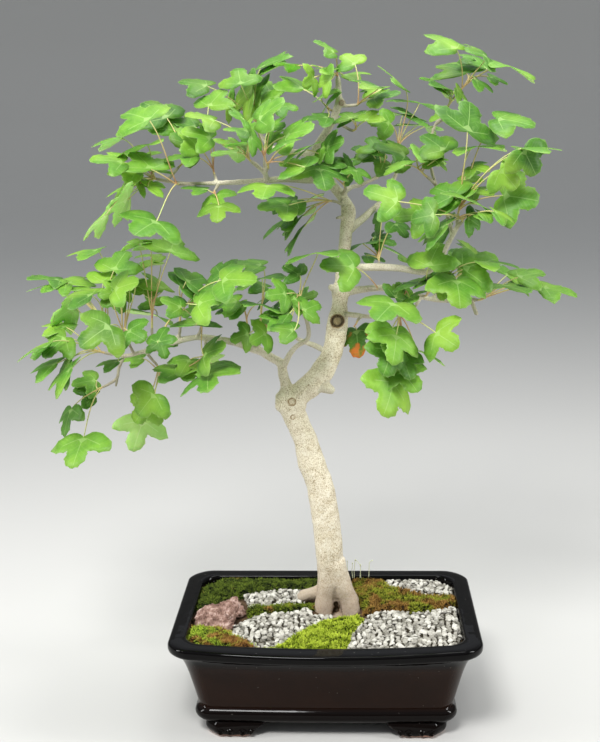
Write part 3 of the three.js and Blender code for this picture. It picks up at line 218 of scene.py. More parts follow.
def stand(mesh: bpy.types.Mesh) -> Piece:
    """Makes an object of a mesh and links it to the scene."""
    piece = bpy.data.objects.new(mesh.name, mesh)
    bpy.context.collection.objects.link(piece)
    return piece


def set_aside(name: str, pieces: list[Piece]) -> bpy.types.Collection:
    """Moves pieces out of the scene into a collection of their own."""
    group = bpy.data.collections.new(name)
    for piece in pieces:
        bpy.context.collection.objects.unlink(piece)
        group.objects.link(piece)
    return group


def dress(piece: Piece, material: Material) -> None:
    """Gives a piece one material in place of any others."""
    piece.data.materials.clear()
    piece.data.materials.append(material)


def set_values(piece: Piece, name: str, values: list[float], kind: str = "FLOAT") -> None:
    """Stores one value of a kind for each of the piece's vertices."""
    layer = piece.data.attributes.new(name, kind, "POINT")
    layer.data.foreach_set("value", values)


def bent(start: Vector, control: Vector, end: Vector, t: float) -> Vector:
    """Returns a place on the line from start to end that bends towards a control place."""
    return start * (1 - t) ** 2 + control * (2 * t * (1 - t)) + end * t * t


def smooth_through(places: list[Vector], radii: list[float], step: float) -> Route:
    """Runs a smooth curve through places, with a radius at each of its points.

    Args:
        places: The places to pass through, in millimetres.
        radii: The radius at each place.
        step: The largest distance between two points of the curve.

    Returns:
        The curve's points and radii.
    """
    path, widths = [places[0]], [radii[0]]
    for i in range(len(places) - 1):
        before = places[max(0, i - 1)]
        after = places[min(len(places) - 1, i + 2)]
        start, end = places[i], places[i + 1]
        count = max(2, math.ceil((end - start).length / step))
        pull_a, pull_b = (end - before) * 0.5, (after - start) * 0.5
        for k in range(1, count + 1):
            t = k / count
            t2, t3 = t * t, t * t * t
            point = start * (2 * t3 - 3 * t2 + 1) + pull_a * (t3 - 2 * t2 + t)
            path.append(point + end * (3 * t2 - 2 * t3) + pull_b * (t3 - t2))
            ease = t2 * (3 - 2 * t)
            widths.append(radii[i] * (1 - ease) + radii[i + 1] * ease)
    return path, widths


@dataclass
class Shell:
    """Vertices and faces that are gathered into one mesh, in millimetres."""

    vertices: list[Vector] = field(default_factory=list)
    faces: list[tuple[int, ...]] = field(default_factory=list)

    def add(self, vertices: list[Vector], faces: list[tuple[int, ...]]) -> None:
        """Adds a set of vertices with its own faces."""
        first = len(self.vertices)
        self.vertices.extend(vertices)
        self.faces.extend(tuple(first + i for i in face) for face in faces)

    def add_rings(self, rings: list[list[Vector]]) -> None:
        """Adds a closed skin over rings of equal count, with a fan at each end.

        Args:
            rings: The rings, anticlockwise seen from the last one.
        """
        sides = len(rings[0])
        vertices = [point for ring in rings for point in ring]
        low, high = len(vertices), len(vertices) + 1
        vertices.append(sum(rings[0], Vector()) / sides)
        vertices.append(sum(rings[-1], Vector()) / sides)
        faces: list[tuple[int, ...]] = []
        for k in range(sides):
            n = (k + 1) % sides
            for r in range(len(rings) - 1):
                a, b = r * sides, (r + 1) * sides
                faces.append((a + k, a + n, b + n, b + k))
            last = (len(rings) - 1) * sides
            faces.append((low, n, k))
            faces.append((high, last + k, last + n))
        self.add(vertices, faces)

    def add_tube(self, path: list[Vector], radii: list[float], sides: int) -> None:
        """Adds a tube along a path, with rounded ends.

        Args:
            path: The middle line.
            radii: The radius at each point of it.
            sides: How many sides the tube has.
        """
        heading = (path[1] - path[0]).normalized()
        side = heading.orthogonal().normalized()
        rings = []
        last = len(path) - 1
        for i, (point, radius) in enumerate(zip(path, radii)):
            ahead = (path[min(last, i + 1)] - path[max(0, i - 1)]).normalized()
            side = (side - ahead * side.dot(ahead)).normalized()
            other = ahead.cross(side)
            turns = [math.tau * k / sides for k in range(sides)]
            ring = [point + radius * (math.cos(a) * side + math.sin(a) * other) for a in turns]
            if i == 0:
                rings.append([point + END_SHARE * (p - point - ahead * radius) for p in ring])
            rings.append(ring)
            if i == last:
                rings.append([point + END_SHARE * (p - point + ahead * radius) for p in ring])
        self.add_rings(rings)

    def make(self, name: str, smooth: bool = True) -> Piece:
        """Makes the object, at the origin and in metres.

        Args:
            name: The object's name.
            smooth: Whether its faces are shaded smooth.

        Returns:
            The object, linked to the scene.
        """
        mesh = bpy.data.meshes.new(name)
        mesh.from_pydata([tuple(v * MM) for v in self.vertices], [], self.faces)
        mesh.validate()
        if smooth:
            mesh.shade_smooth()
        return stand(mesh)


def closed(top: list[Vector], under: list[Vector], faces: list[tuple[int, ...]]) -> Shell:
    """Closes a skin by a second one under it and a wall around its rim.

    Args:
        top: The skin's places.
        under: The place under each of these.
        faces: The skin's faces.

    Returns:
        The shell: the faces, the ones under them, then the wall.
    """
    count = len(top)
    rim = {(a, b): face for face in faces for a, b in zip(face, face[1:] + face[:1])}
    walls = [(b, a, a + count, b + count) for a, b in rim if (b, a) not in rim]
    bottom = [tuple(i + count for i in reversed(face)) for face in faces]
    return Shell([*top, *under], [*faces, *bottom, *walls])


# ------------------------------------------------------------------ viewing position


@dataclass(frozen=True)
class Viewpoint:
    """The viewing position from which the places of leaves and branches are written.

    A place is a picture column, a picture row and a depth: how far behind the pot's middle
    line it stands, in millimetres.
    """

    eye: Vector = Vector((26.35, -1149.8, 616.0))
    yaw: float = -0.043
    pitch: float = 0.225
    roll: float = -0.015
    focal_pixels: float = 1202.0
    width: int = 600
    height: int = 742
    sensor: float = 36.0

    def axes(self) -> tuple[Vector, Vector, Vector]:
        """Returns the picture's right, its up and the direction ahead."""
        ahead = Vector(
            (
                math.sin(self.yaw) * math.cos(self.pitch), math.cos(self.yaw) * math.cos(self.pitch),
                -math.sin(self.pitch),
            )
        )
        right = Vector((math.cos(self.yaw), -math.sin(self.yaw), 0.0))
        up = right.cross(ahead)
        turn, tilt = math.cos(self.roll), math.sin(self.roll)
        return right * turn + up * tilt, up * turn - right * tilt, ahead

    def sight(self, column: float, row: float) -> Vector:
        """Returns the line of sight through a place in the picture, not normalised."""
        right, up, ahead = self.axes()
        across = (column - self.width / 2) / self.focal_pixels
        rise = (self.height / 2 - row) / self.focal_pixels
        return ahead + right * across + up * rise

    def seen_at(self, column: float, row: float, depth: float) -> Vector:
        """Returns the place seen at a column and row, at a depth behind the middle line."""
        ray = self.sight(column, row)
        return self.eye + ray * ((depth - self.eye.y) / ray.y) + POT_CENTRE

    def seen_on(self, column: float, row: float, height: float) -> Vector:
        """Returns the place seen at a column and row, at a height above the table."""
        ray = self.sight(column, row)
        return self.eye + ray * ((height - self.eye.z) / ray.z) + POT_CENTRE

    def from_eye(self, place: Vector) -> Vector:
        """Returns the vector from the eye to a place."""
        return place - POT_CENTRE - self.eye

    def make_camera(self) -> None:
        """Makes the scene's camera at the viewing position."""
        right, up, ahead = self.axes()
        data = bpy.data.cameras.new("camera")
        data.sensor_width = self.sensor
        data.lens = self.focal_pixels * self.sensor / max(self.width, self.height)
        data.clip_end = 50.0
        camera = bpy.data.objects.new("camera", data)
        facing = Matrix((right, up, -ahead)).transposed().to_4x4()
        camera.matrix_world = Matrix.Translation((self.eye + POT_CENTRE) * MM) @ facing
        bpy.context.collection.objects.link(camera)
        bpy.context.scene.camera = camera


VIEW = Viewpoint()


# ------------------------------------------------------------------ places written down


# The seen side of a blade, after its depth, where that is its underside.
UNDER = -1


@dataclass(frozen=True)
class SprayPlan:
    """A leafy spray: its carrying twig, the tip of its young shoot, and its outer leaves.

    A leaf is the columns and rows of its junction and of two neighbouring lobe tips, then its
    depth, and UNDER where its underside is seen.
    """

    name: str
    twig: Points
    stem: tuple[float, float, float]
    leaves: Points
    # How light the spray's blades are: partly their own tone, partly painted light and shade, lower for
    # sprays deep inside or behind the crown and higher for outer, lit ones.
    tone: float = 0.5
    scorched: tuple[int, ...] = ()


# fmt: off
# Points of each woody limb and of each cut stub: column, row, depth and radius.
TRUNK_LIMBS: dict[str, Points] = {
    "lower_trunk": (
        (336, 605, 27, 8.5), (334.4, 595, 21.5, 12), (332.5, 582, 18, 14.4), (330.5, 567, 17.5, 14),
        (327.5, 532, 17.5, 14), (322.5, 498, 17.5, 13.9), (319, 482, 17.5, 13.4), (312, 464, 17.5, 13.6),
        (305.5, 441, 17.5, 11.9), (300, 427, 17.5, 11.6), (294.5, 415, 17.5, 12), (290.5, 403, 17.5, 13.6),
        (288, 392, 17.5, 10),
    ),
    "upper_trunk": (
        (291, 404, 17.5, 10), (301, 393, 17.5, 11.4), (312, 384, 17.5, 12), (321.5, 373, 17.5, 11.6),
        (330, 358, 17.5, 10.2), (334.5, 344, 17.5, 10), (336.5, 330, 17.5, 10.2), (338.5, 317.5, 17.5, 9.8),
        (340, 304, 17.5, 7.3), (340.5, 290, 17.5, 8.6), (341, 279, 17.5, 5.8), (342, 268, 17, 5.4),
        (344, 256, 17, 5.6), (345, 243, 17, 6), (346.5, 228, 17, 6.4), (348.5, 211, 17, 6.8),
        (344, 200, 16, 5.6), (335, 188, 15, 4.6), (328, 177, 14, 4.4), (320.5, 166, 13, 4.3),
        (314.5, 153, 12, 4.2),
    ),
    "leader": (
        (313.5, 157, 12, 3), (316, 149, 12, 3.9), (322, 139, 11, 3.8), (331, 124, 10, 3.6),
        (336, 112, 10, 3.8), (339, 100, 10, 3.4), (338.5, 90, 10, 3), (338, 79, 10, 2.4),
    ),
    "lower_left": (
        (290, 397, 17.5, 8), (284, 379, 17, 5.2), (281, 364, 16, 4.6), (272, 358, 14, 4.3), (262, 352, 10, 4),
        (250, 348, 4, 3.6), (240, 344, -2, 3.4), (228, 341, -8, 3.2), (210, 338, -12, 3),
        (195, 337.5, -12, 2.9), (178, 341, -6, 3.1), (160, 348, 0, 2.5), (145, 351, 6, 2.3),
        (128, 355.5, 10, 2), (114, 354, 8, 1.7), (105, 353, 4, 1.5),
    ),
    "fork_inner": (
        (283, 368, 17, 3.4), (290, 354, 8, 2.9), (297, 346, -2, 2.5), (308, 338, -14, 2.2),
        (307, 322, -24, 1.9), (300, 306, -30, 1.6),
    ),
    "fork_back": ((328, 353, 20, 3.4), (318, 347, 34, 2.8), (305, 342, 50, 2.4), (296, 338, 62, 1.9)),
    "upper_left_back": (
        (315, 154, 13, 4), (300, 153, 24, 3.2), (285, 150.5, 36, 2.8), (271, 147, 48, 2.4), (263, 138, 58, 2),
        (257, 127, 64, 1.7),
    ),
    "upper_left_front": (
        (328, 178, 13, 4), (310, 180, 4, 3.5), (290, 179, -8, 3.2), (277, 179.5, -14, 3),
        (266, 180.5, -18, 2.8), (241, 182, -18, 2.4), (218, 183, -14, 2.2), (200, 183.6, -10, 1.9),
        (184, 183.6, -7, 1.7), (167, 181, -8, 1.5),
    ),
    "upper_left_bow": (
        (267, 180, -18, 2.6), (264.6, 173, -24, 2.3), (257.5, 166, -32, 2), (251, 161, -38, 1.7),
    ),
    "right_behind": ((345, 191, 16, 2.6), (352, 187, 30, 2.3), (361, 184.6, 46, 2.1), (378, 177, 68, 1.7)),
    "right_thick": (
        (346, 233, 17, 5), (353, 226, 24, 4.3), (361, 220, 34, 3.7), (370, 212, 46, 3.3),
        (379.5, 203, 60, 2.9), (389, 190, 76, 2.3), (397, 170, 88, 1.9), (398, 154, 92, 1.6),
    ),
    "right_upper": (
        (344, 268, 15, 4.4), (357, 267.5, 8, 3.8), (380, 267, -4, 3.5), (401, 268.5, -16, 3.3),
        (426, 272, -30, 2.7), (440, 261, -36, 2.4), (448, 244, -36, 2.3), (457, 227, -32, 2.1),
        (458, 216, -30, 1.8),
    ),
    "right_riser": (
        (452, 236, -34, 2.1), (449, 220, -8, 1.9), (440, 197, 16, 1.8), (432, 172, 36, 1.7),
        (429, 150, 48, 1.6), (434, 128, 54, 1.5), (441, 117, 52, 1.4),
    ),
    "right_middle": (
        (348, 291.5, 17, 4.2), (365, 289, 22, 3.4), (383, 288, 28, 3.1), (400, 290.5, 34, 2.9),
        (407, 293, 36, 2.8), (422, 297, 40, 2.5), (436, 300, 46, 2.1), (452, 301, 50, 1.9),
        (470, 299, 50, 1.8), (477, 300, 48, 1.6),
    ),
    "right_lower": (
        (346, 314, 13, 3), (358, 315.5, 0, 2.4), (370, 316.5, -16, 2), (386, 316, -32, 1.8),
        (398, 315, -42, 1.6),
    ),
}

TWIGS: dict[str, Points] = {
    "fork_stub": ((321, 383, 14, 5), (331, 391, 12, 3.2)),
    "trunk_stub_left": ((338, 290, 16, 4.5), (330.5, 287, 12, 3)),
    "far_right_stub": ((471, 300, 50, 2.1), (476.5, 314, 46, 2)),
    "right_middle_stub": ((421, 297, 40, 2.2), (415, 307, 34, 1.6)),
    "left_spur": ((119, 368, 14, 1.7), (116, 386, 10, 1.2)),
    "left_bud": ((178, 342, -6, 3.4), (178, 336, -8, 2.2)),
    "fan_spur": ((265.5, 175, -23, 2.2), (264.8, 159, -18, 1.6)),
    "trunk_thorn": ((344, 217, 14, 2.4), (336, 218, 8, 1)),
}

SPRAY_PLANS: tuple[SprayPlan, ...] = (
    SprayPlan("left_tip", ((112, 354, 7), (106, 353, 4)), (94, 350, -2), (
        (66, 338, 41, 358, 46, 333, -12), (50, 343, 14, 359, 28, 361, -34, UNDER),
        (57, 364, 29, 369, 36, 378, -22), (72, 369, 44, 387, 53, 394, -46),
        (75, 308, 47, 323, 67, 331, 26, UNDER),
    ), tone=0.62),
    SprayPlan("left_upper", ((120, 355, 9), (116, 347, 16), (113, 339, 22)), (104, 322, 26), (
        (66, 285, 39, 291, 50, 280, 46), (62, 284, 24, 288, 38, 281, 62), (92, 296, 66, 292, 98, 283, -12),
        (114, 271, 127, 247, 142, 267, 20), (98, 251, 65, 254, 80, 257, 52), (68, 284, 85, 273, 53, 279, 50),
    ), tone=0.55),
    SprayPlan("left_inner", ((134, 354, 8), (130, 346, -2), (127, 340, -10)), (122, 331, -20), (
        (115, 290, 139, 280, 125, 269, -34), (110, 326, 78, 346, 80, 311, -60),
        (128, 331, 146, 340, 147, 319, -48), (118, 362, 94, 364, 105, 369, -30),
        (135, 281, 107, 277, 118, 284, 4), (119, 297, 100, 305, 104, 287, 0),
    )),
    SprayPlan("left_rise", ((150, 350, 4), (152, 340, 14), (152, 330, 24)), (152, 302, 30), (
        (139, 245, 129, 238, 150, 238, 16, UNDER), (160, 256, 133, 255, 146, 252, 52),
        (170, 253, 176, 233, 201, 254, -2), (163, 290, 143, 268, 172, 283, 42),
        (143, 294, 144, 276, 159, 290, 28), (156, 317, 134, 306, 175, 320, 60, UNDER),
    )),
    SprayPlan("left_crown", ((178, 341, -6), (180, 330, -14), (180, 322, -20)), (181, 302, -28), (
        (186, 282, 208, 276, 178, 264, -40), (181, 308, 160, 296, 168, 315, -52),
        (192, 315, 194, 296, 204, 306, -8), (222, 281, 258, 278, 243, 260, -66),
        (158, 343, 166, 324, 146, 336, -70), (160, 342, 166, 359, 176, 344, -6),
    ), tone=0.42),
    SprayPlan("left_bow", ((196, 338, -12), (200, 332, -22), (201, 328, -28)), (202, 318, -36), (
        (196, 326, 196, 314, 222, 322, -58), (222, 275, 213, 263, 203, 285, 14),
        (204, 356, 224, 344, 217, 332, -44),
    )),
    SprayPlan("left_drop", ((205, 338, -12), (206, 346, -18), (206, 352, -22)), (206, 358, -26), (
        (190, 360, 178, 376, 205, 371, -10), (209, 375, 206, 389, 238, 367, -46),
        (208, 362, 222, 366, 219, 357, 2, UNDER), (180, 372, 152, 366, 160, 380, -14),
    )),
    SprayPlan("hanging_middle", ((145, 351, 6), (150, 357, 10), (156, 364, 12)), (160, 371, 10), (
        (143, 421, 132, 453, 167, 438, 4, UNDER), (155, 394, 136, 417, 166, 418, -22),
        (142, 359, 118, 360, 132, 366, 36),
    ), tone=0.72),
    SprayPlan("hanging_left",
        ((124, 356, 10), (119, 368, 14), (117, 378, 18), (109, 384, 20), (104, 386.5, 22)),
        (98, 389, 20), (
        (72, 409, 61, 437, 56, 420, 12), (84, 438, 71, 469, 108, 447, -16), (96, 381, 70, 383, 90, 396, 44),
    ), tone=0.62),
    SprayPlan("middle_left_low", ((243, 345, 0), (246, 336, -8), (247, 328, -13)), (246, 315, -18), (
        (238, 302, 205, 309, 226, 314, -24), (258, 305, 280, 311, 246, 303, -46),
    )),
    SprayPlan("middle_left_high", ((259, 351, 9), (259, 338, 20), (260, 328, 28)), (262, 304, 34), (
        (262, 279, 240, 286, 280, 274, 14), (262, 266, 226, 262, 247, 272, 46),
        (262, 318, 278, 325, 256, 331, 62),
    )),
    SprayPlan("middle_left_front", ((254, 349, 6), (262, 340, -10), (265, 333, -20)), (266, 325, -28), (
        (249, 334, 228, 340, 238, 320, -44), (285, 322, 258, 312, 270, 327, -62),
    )),
    SprayPlan("fork_inner", ((301, 312, -28), (300, 304, -31)), (299, 296, -34), (
        (286, 294, 265, 295, 273, 276, -50), (303, 311, 322, 302, 320, 322, -52),
        (294, 331, 268, 325, 282, 341, -84), (318, 254, 290, 258, 337, 250, -30, UNDER),
        (300, 276, 282, 264, 304, 262, -12),
    )),
    SprayPlan("fork_back", ((300, 340, 56), (295, 336, 63)), (290, 328, 70), (
        (274, 296, 256, 300, 280, 288, 86), (300, 300, 318, 292, 306, 284, 96),
    ), tone=0.3),
    SprayPlan("upper_left_tip", ((169, 181.5, -8), (158, 179.5, -10)), (152, 178, -13), (
        (122, 139, 90, 145.5, 99, 149, 22, UNDER), (148, 146, 115, 154, 165, 136, -6, UNDER),
        (123, 163, 88, 158, 112, 173, -38), (155, 172, 160, 166, 164, 171, -22),
        (134, 185, 103, 194, 114, 196, 8), (128, 200, 103, 211, 113, 224, -34, UNDER),
        (106, 216, 79, 239, 95, 236, -60, UNDER), (148, 187, 166, 184, 157, 189, -30),
    ), tone=0.75),
    SprayPlan("upper_left_back", ((167, 181, -8), (172, 175, 4), (178, 168, 14)), (186, 160, 22), (
        (167, 119, 142, 98, 181, 101, 46), (196, 128, 171, 119, 188, 113, 62),
        (194, 148, 170, 136, 184, 124, 28),
    ), tone=0.4),
    SprayPlan("upper_left_middle", ((184, 184, -7), (179, 184, -16)), (176, 184, -26), (
        (149.5, 121, 122, 109, 115, 133, -42), (156.5, 222, 134, 233, 121, 211, -52),
    )),
    SprayPlan("upper_left_fan", ((217, 183, -14), (216, 179, -8), (215, 176, -3)), (213, 169, 4), (
        (211, 139, 180, 129, 203, 121, -10), (192, 157, 162, 159, 176, 152, -12),
        (209, 107, 225, 87, 196, 98, 22),
    ), tone=0.6),
    SprayPlan("upper_left_drop", ((219, 183, -14), (217, 187, -24), (215, 190, -28)), (214, 193, -32), (
        (219, 206, 217, 221, 240, 209, -46), (205, 190, 179, 187, 194, 193, -20),
    )),
    SprayPlan("upper_bow", ((257, 166, -32), (251, 161, -38)), (247, 157, -43), (
        (237, 153, 210, 153, 218, 148, -52, UNDER), (222, 145, 240, 141, 216, 137, -26, UNDER),
        (250, 137, 265, 148, 255, 136, -66), (248, 132, 222, 127, 236, 124, -34),
    )),
    SprayPlan("upper_fan", ((264.8, 165, -21), (264.8, 158, -18)), (264.8, 152, -15), (
        (214, 121, 184, 112, 199, 109, -10), (259, 120, 285, 98, 270, 127, -44),
        (270, 140, 285, 137, 281, 130, 10), (286, 137, 314, 126, 305, 116, -30),
        (278, 107, 300, 107, 288, 100, -8),
    )),
    SprayPlan("upper_fan_low", ((265, 173, -24), (268, 168, -34)), (267, 163, -42), (
        (305, 168, 279, 160, 280, 176, -54), (286, 145, 279, 141, 296, 138, -70),
        (243, 119, 229, 113, 247, 128, -58),
    )),
    SprayPlan("upper_middle", ((261, 134, 60), (257, 126, 65)), (254, 116, 68), (
        (207, 87, 177, 78, 189, 93, 52), (241, 85, 237, 65, 262, 74, 36), (228, 104, 241, 110, 231, 115, 74),
        (243, 94, 256, 92, 247, 82, 84), (261, 69, 283, 50, 247, 72, 62), (280, 97, 250, 100, 287, 73, 44),
        (270, 92, 264, 80, 281, 84, 96),
    )),
    SprayPlan("crown_left", ((337, 113, 10), (333, 111, 18)), (328, 109, 24), (
        (303, 90, 283, 72, 318, 84, 34), (322, 98, 335, 86, 314, 99, 6), (328, 118, 300, 119, 313, 112, -12),
    )),
    SprayPlan("crown_top", ((338, 84, 10), (338, 78, 10)), (337, 73, 10), (
        (296, 66, 272, 62, 287, 61, 30, UNDER), (334, 53, 313, 39, 327, 42, -2),
        (332, 74, 311, 62, 322, 70, -14), (331, 80, 316, 82, 325, 87, -26), (344, 76, 373, 71, 358, 77, 26),
    )),
    SprayPlan("crown_right", ((341, 106, 8), (350, 105.5, 0), (356, 105, -5)), (360, 103, -8), (
        (355, 65, 341, 53, 363, 54, -4), (379, 88, 348, 77, 362, 85, -34), (373, 99, 402, 92, 387, 88, -12),
        (377, 92, 358, 90, 366, 94, 16),
    )),
    SprayPlan("crown_inner", ((335, 120, 10), (345, 127, -2), (352, 130.5, -10)), (356, 129, -14), (
        (351, 119, 341, 110, 362, 112, -26), (366, 121, 376, 108, 384, 118, -34),
    ), tone=0.35),
    SprayPlan("joint", ((316, 153, 12), (322, 158, 4), (325, 160, 0)), (329, 160, -4), (
        (327, 148, 344, 140, 335, 129, -10), (328, 167, 335, 154, 322, 162, -20),
        (307, 150, 301, 151, 314, 143, -16),
    )),
    SprayPlan("crown_back", ((398, 160, 91), (398, 152, 93)), (398, 143, 94), (
        (390, 124, 366, 119, 383, 107, 80), (403, 116, 428, 118, 393, 110, 108),
        (405, 90, 375, 62, 419, 77, 86), (425, 127, 398, 124, 445, 129, 116),
    )),
    SprayPlan("right_behind", ((371, 180, 58), (378, 176, 67)), (382, 171, 72), (
        (371, 153, 350, 146, 357, 158, 60), (366, 158, 342, 161, 354, 163, 84),
        (378, 150, 368, 135, 394, 140, 44), (405, 156, 372, 143, 398, 168, 30),
    ), tone=0.35),
    SprayPlan("right_riser", ((435, 184, 30), (431, 180, 22), (427, 177, 14)), (418, 168, 0), (
        (444, 151, 421, 132, 453, 135, -8), (443, 161, 418, 148, 432, 161, 12, UNDER),
        (405, 166, 386, 164, 414, 158, -16), (416, 148, 452, 168, 440, 151, 8),
    )),
    SprayPlan("top_right", ((438, 121, 53), (441, 116, 52)), (471, 78, 44), (
        (456, 50, 424, 29, 463, 38, 30), (466, 74, 437, 63, 482, 64, 62), (479, 63, 460, 52, 486, 58, 78),
        (486, 57, 467, 48, 493, 68, 30), (505, 66, 535, 75, 486, 58, 40, UNDER),
        (475, 80, 496, 91, 483, 79, 26),
    )),
    SprayPlan("top_right_low", ((436, 124, 54), (443, 119, 44)), (447, 112, 38), (
        (449, 90, 419, 74, 432, 81, 26), (456, 89, 471, 107, 463, 88, 26), (447, 113, 428, 120, 436, 112, 20),
    )),
    SprayPlan("right_upper", ((457, 223, -31), (458, 215, -30)), (460, 204, -30), (
        (454, 197, 431, 184, 468, 177, -48), (467, 132, 471, 99, 502, 138, -40),
        (472, 148, 503, 144, 455, 148, -10, UNDER), (466, 180, 480, 168, 481, 178, 0),
        (474, 193, 495, 194, 489, 185, -18), (503, 196, 541, 200, 521, 170, -36),
        (476, 205, 452, 190, 500, 214, -68), (523, 150, 538, 177, 548, 146, -60),
        (522, 149, 564, 148.5, 511, 145, -63), (497, 120, 538, 124, 515, 110, -16),
    )),
    SprayPlan("right_upper_low", ((455, 229, -34), (462, 222, -44)), (460, 217, -52), (
        (467, 218, 483, 227, 472, 225, -56), (494, 212, 518, 221, 505, 222, -74),
        (435, 215, 409, 219, 424, 196, -72), (447, 226, 414, 238, 425, 245, -64),
        (398, 202, 362, 188, 392, 176, -58), (450, 223, 419, 243, 437, 243, 2),
    )),
    SprayPlan("right_shield", ((470, 299, 50), (477, 300, 46)), (483, 299, 42), (
        (518, 278, 546, 269, 540, 285, 30), (504, 286, 528, 292, 485, 288, 14),
        (543, 288, 580, 294, 556, 281, 52), (506, 276, 510, 266, 525, 284, 70),
    )),
    SprayPlan("right_middle", ((416, 295, 38), (424, 296, 30)), (428, 293, 20), (
        (429, 267, 440, 239, 406, 254, -44), (480.5, 262.5, 525, 264, 491, 234.5, -34),
        (422, 284, 404, 279, 440, 276, -14), (456, 280.5, 462, 307, 428, 285, -42),
        (447, 280, 440, 302, 430, 283, 4), (432, 267, 459, 277, 441, 281, -8),
    ), tone=0.58),
    SprayPlan("right_dark", ((430, 299, 44), (440, 292, 54)), (446, 284, 62), (
        (475, 262, 447, 249, 461, 270, 70), (478, 259, 458, 236, 461, 251, 36),
        (470, 280, 462, 268, 478, 272, 84), (412, 264, 379, 242, 398, 242, 90),
    ), tone=0.25),
    SprayPlan("right_inner", ((398, 290, 34), (403, 292, 24)), (406, 291, 16), (
        (395, 298, 403, 281, 390, 287, 2), (410, 298, 416, 300, 404, 304, 0),
    )),
    SprayPlan("right_lower", ((390, 316, -34), (397, 315, -41)), (401, 313, -47), (
        (394, 304, 376, 319, 358, 299, -60), (396, 335, 394, 365, 369, 336, -66),
        (397, 368, 420, 391, 427, 364, -44), (392, 383, 386, 417, 361, 373, -54),
        (436, 333, 458, 347, 459, 316, -58), (418, 352, 440, 360, 405, 346, -34, UNDER),
    ), tone=0.62),
    SprayPlan("trunk_side", ((361, 315.8, -4), (358, 320, -10)), (356, 324, -15), (
        (357, 330, 358, 358, 381, 333, 24),
    ), tone=0.3, scorched=(0,)),
    SprayPlan("trunk_front", ((368, 289, 22), (373, 289, 6), (377, 289, -8)), (377, 287, -18), (
        (355, 268, 318, 262, 342, 244, -32),
    )),
    SprayPlan("branch_back", ((378, 267, -4), (379, 262, 14)), (378, 257, 28), (
        (363, 244, 377, 240, 351, 246, 36, UNDER), (366, 256, 387, 260, 376, 253, 46),
        (395, 224, 408, 238, 411, 227, 14), (382, 220, 371, 217, 376, 228, 40),
    ), tone=0.25),
    SprayPlan("inner_left", ((345, 206, 16), (337, 202, 4), (332, 201, -6)), (328, 201, -14), (
        (268, 186, 262, 196, 294, 191, -52), (288, 206, 256, 207, 268, 195, -34),
        (290, 218, 259, 237, 272, 222, 12), (305, 227, 283, 250, 310, 217, -16),
        (304, 204, 283, 214, 322, 190, -6),
    ), tone=0.55),
    SprayPlan("inner_front", ((341, 196, 14), (345, 190, 2), (345, 187, -4)), (343, 184, -10), (
        (319, 169, 327, 188, 350, 177, -26), (351, 170, 338, 167, 346, 162, 0),
        (355, 170, 360, 184, 364, 176, -14),
    )),
)
# fmt: on


# ------------------------------------------------------------------ finishes


@dataclass(frozen=True)
class Finish:
    """A named material made of procedural nodes."""

    name: str

    def surface(self, net: Net, place: Socket) -> dict[str, object]:
        """Returns the surface shader's inputs, from the material's tree and place on the piece."""
        raise NotImplementedError

    def make(self) -> Material:
        """Builds the material."""
        material = bpy.data.materials.new(self.name)
        material.use_nodes = True
        net = Net(material.node_tree)
        net.tree.nodes.clear()
        place = net.add("TexCoord", out="Object")
        net.add("OutputMaterial", {"Surface": net.add("BsdfPrincipled", self.surface(net, place))})
        return material


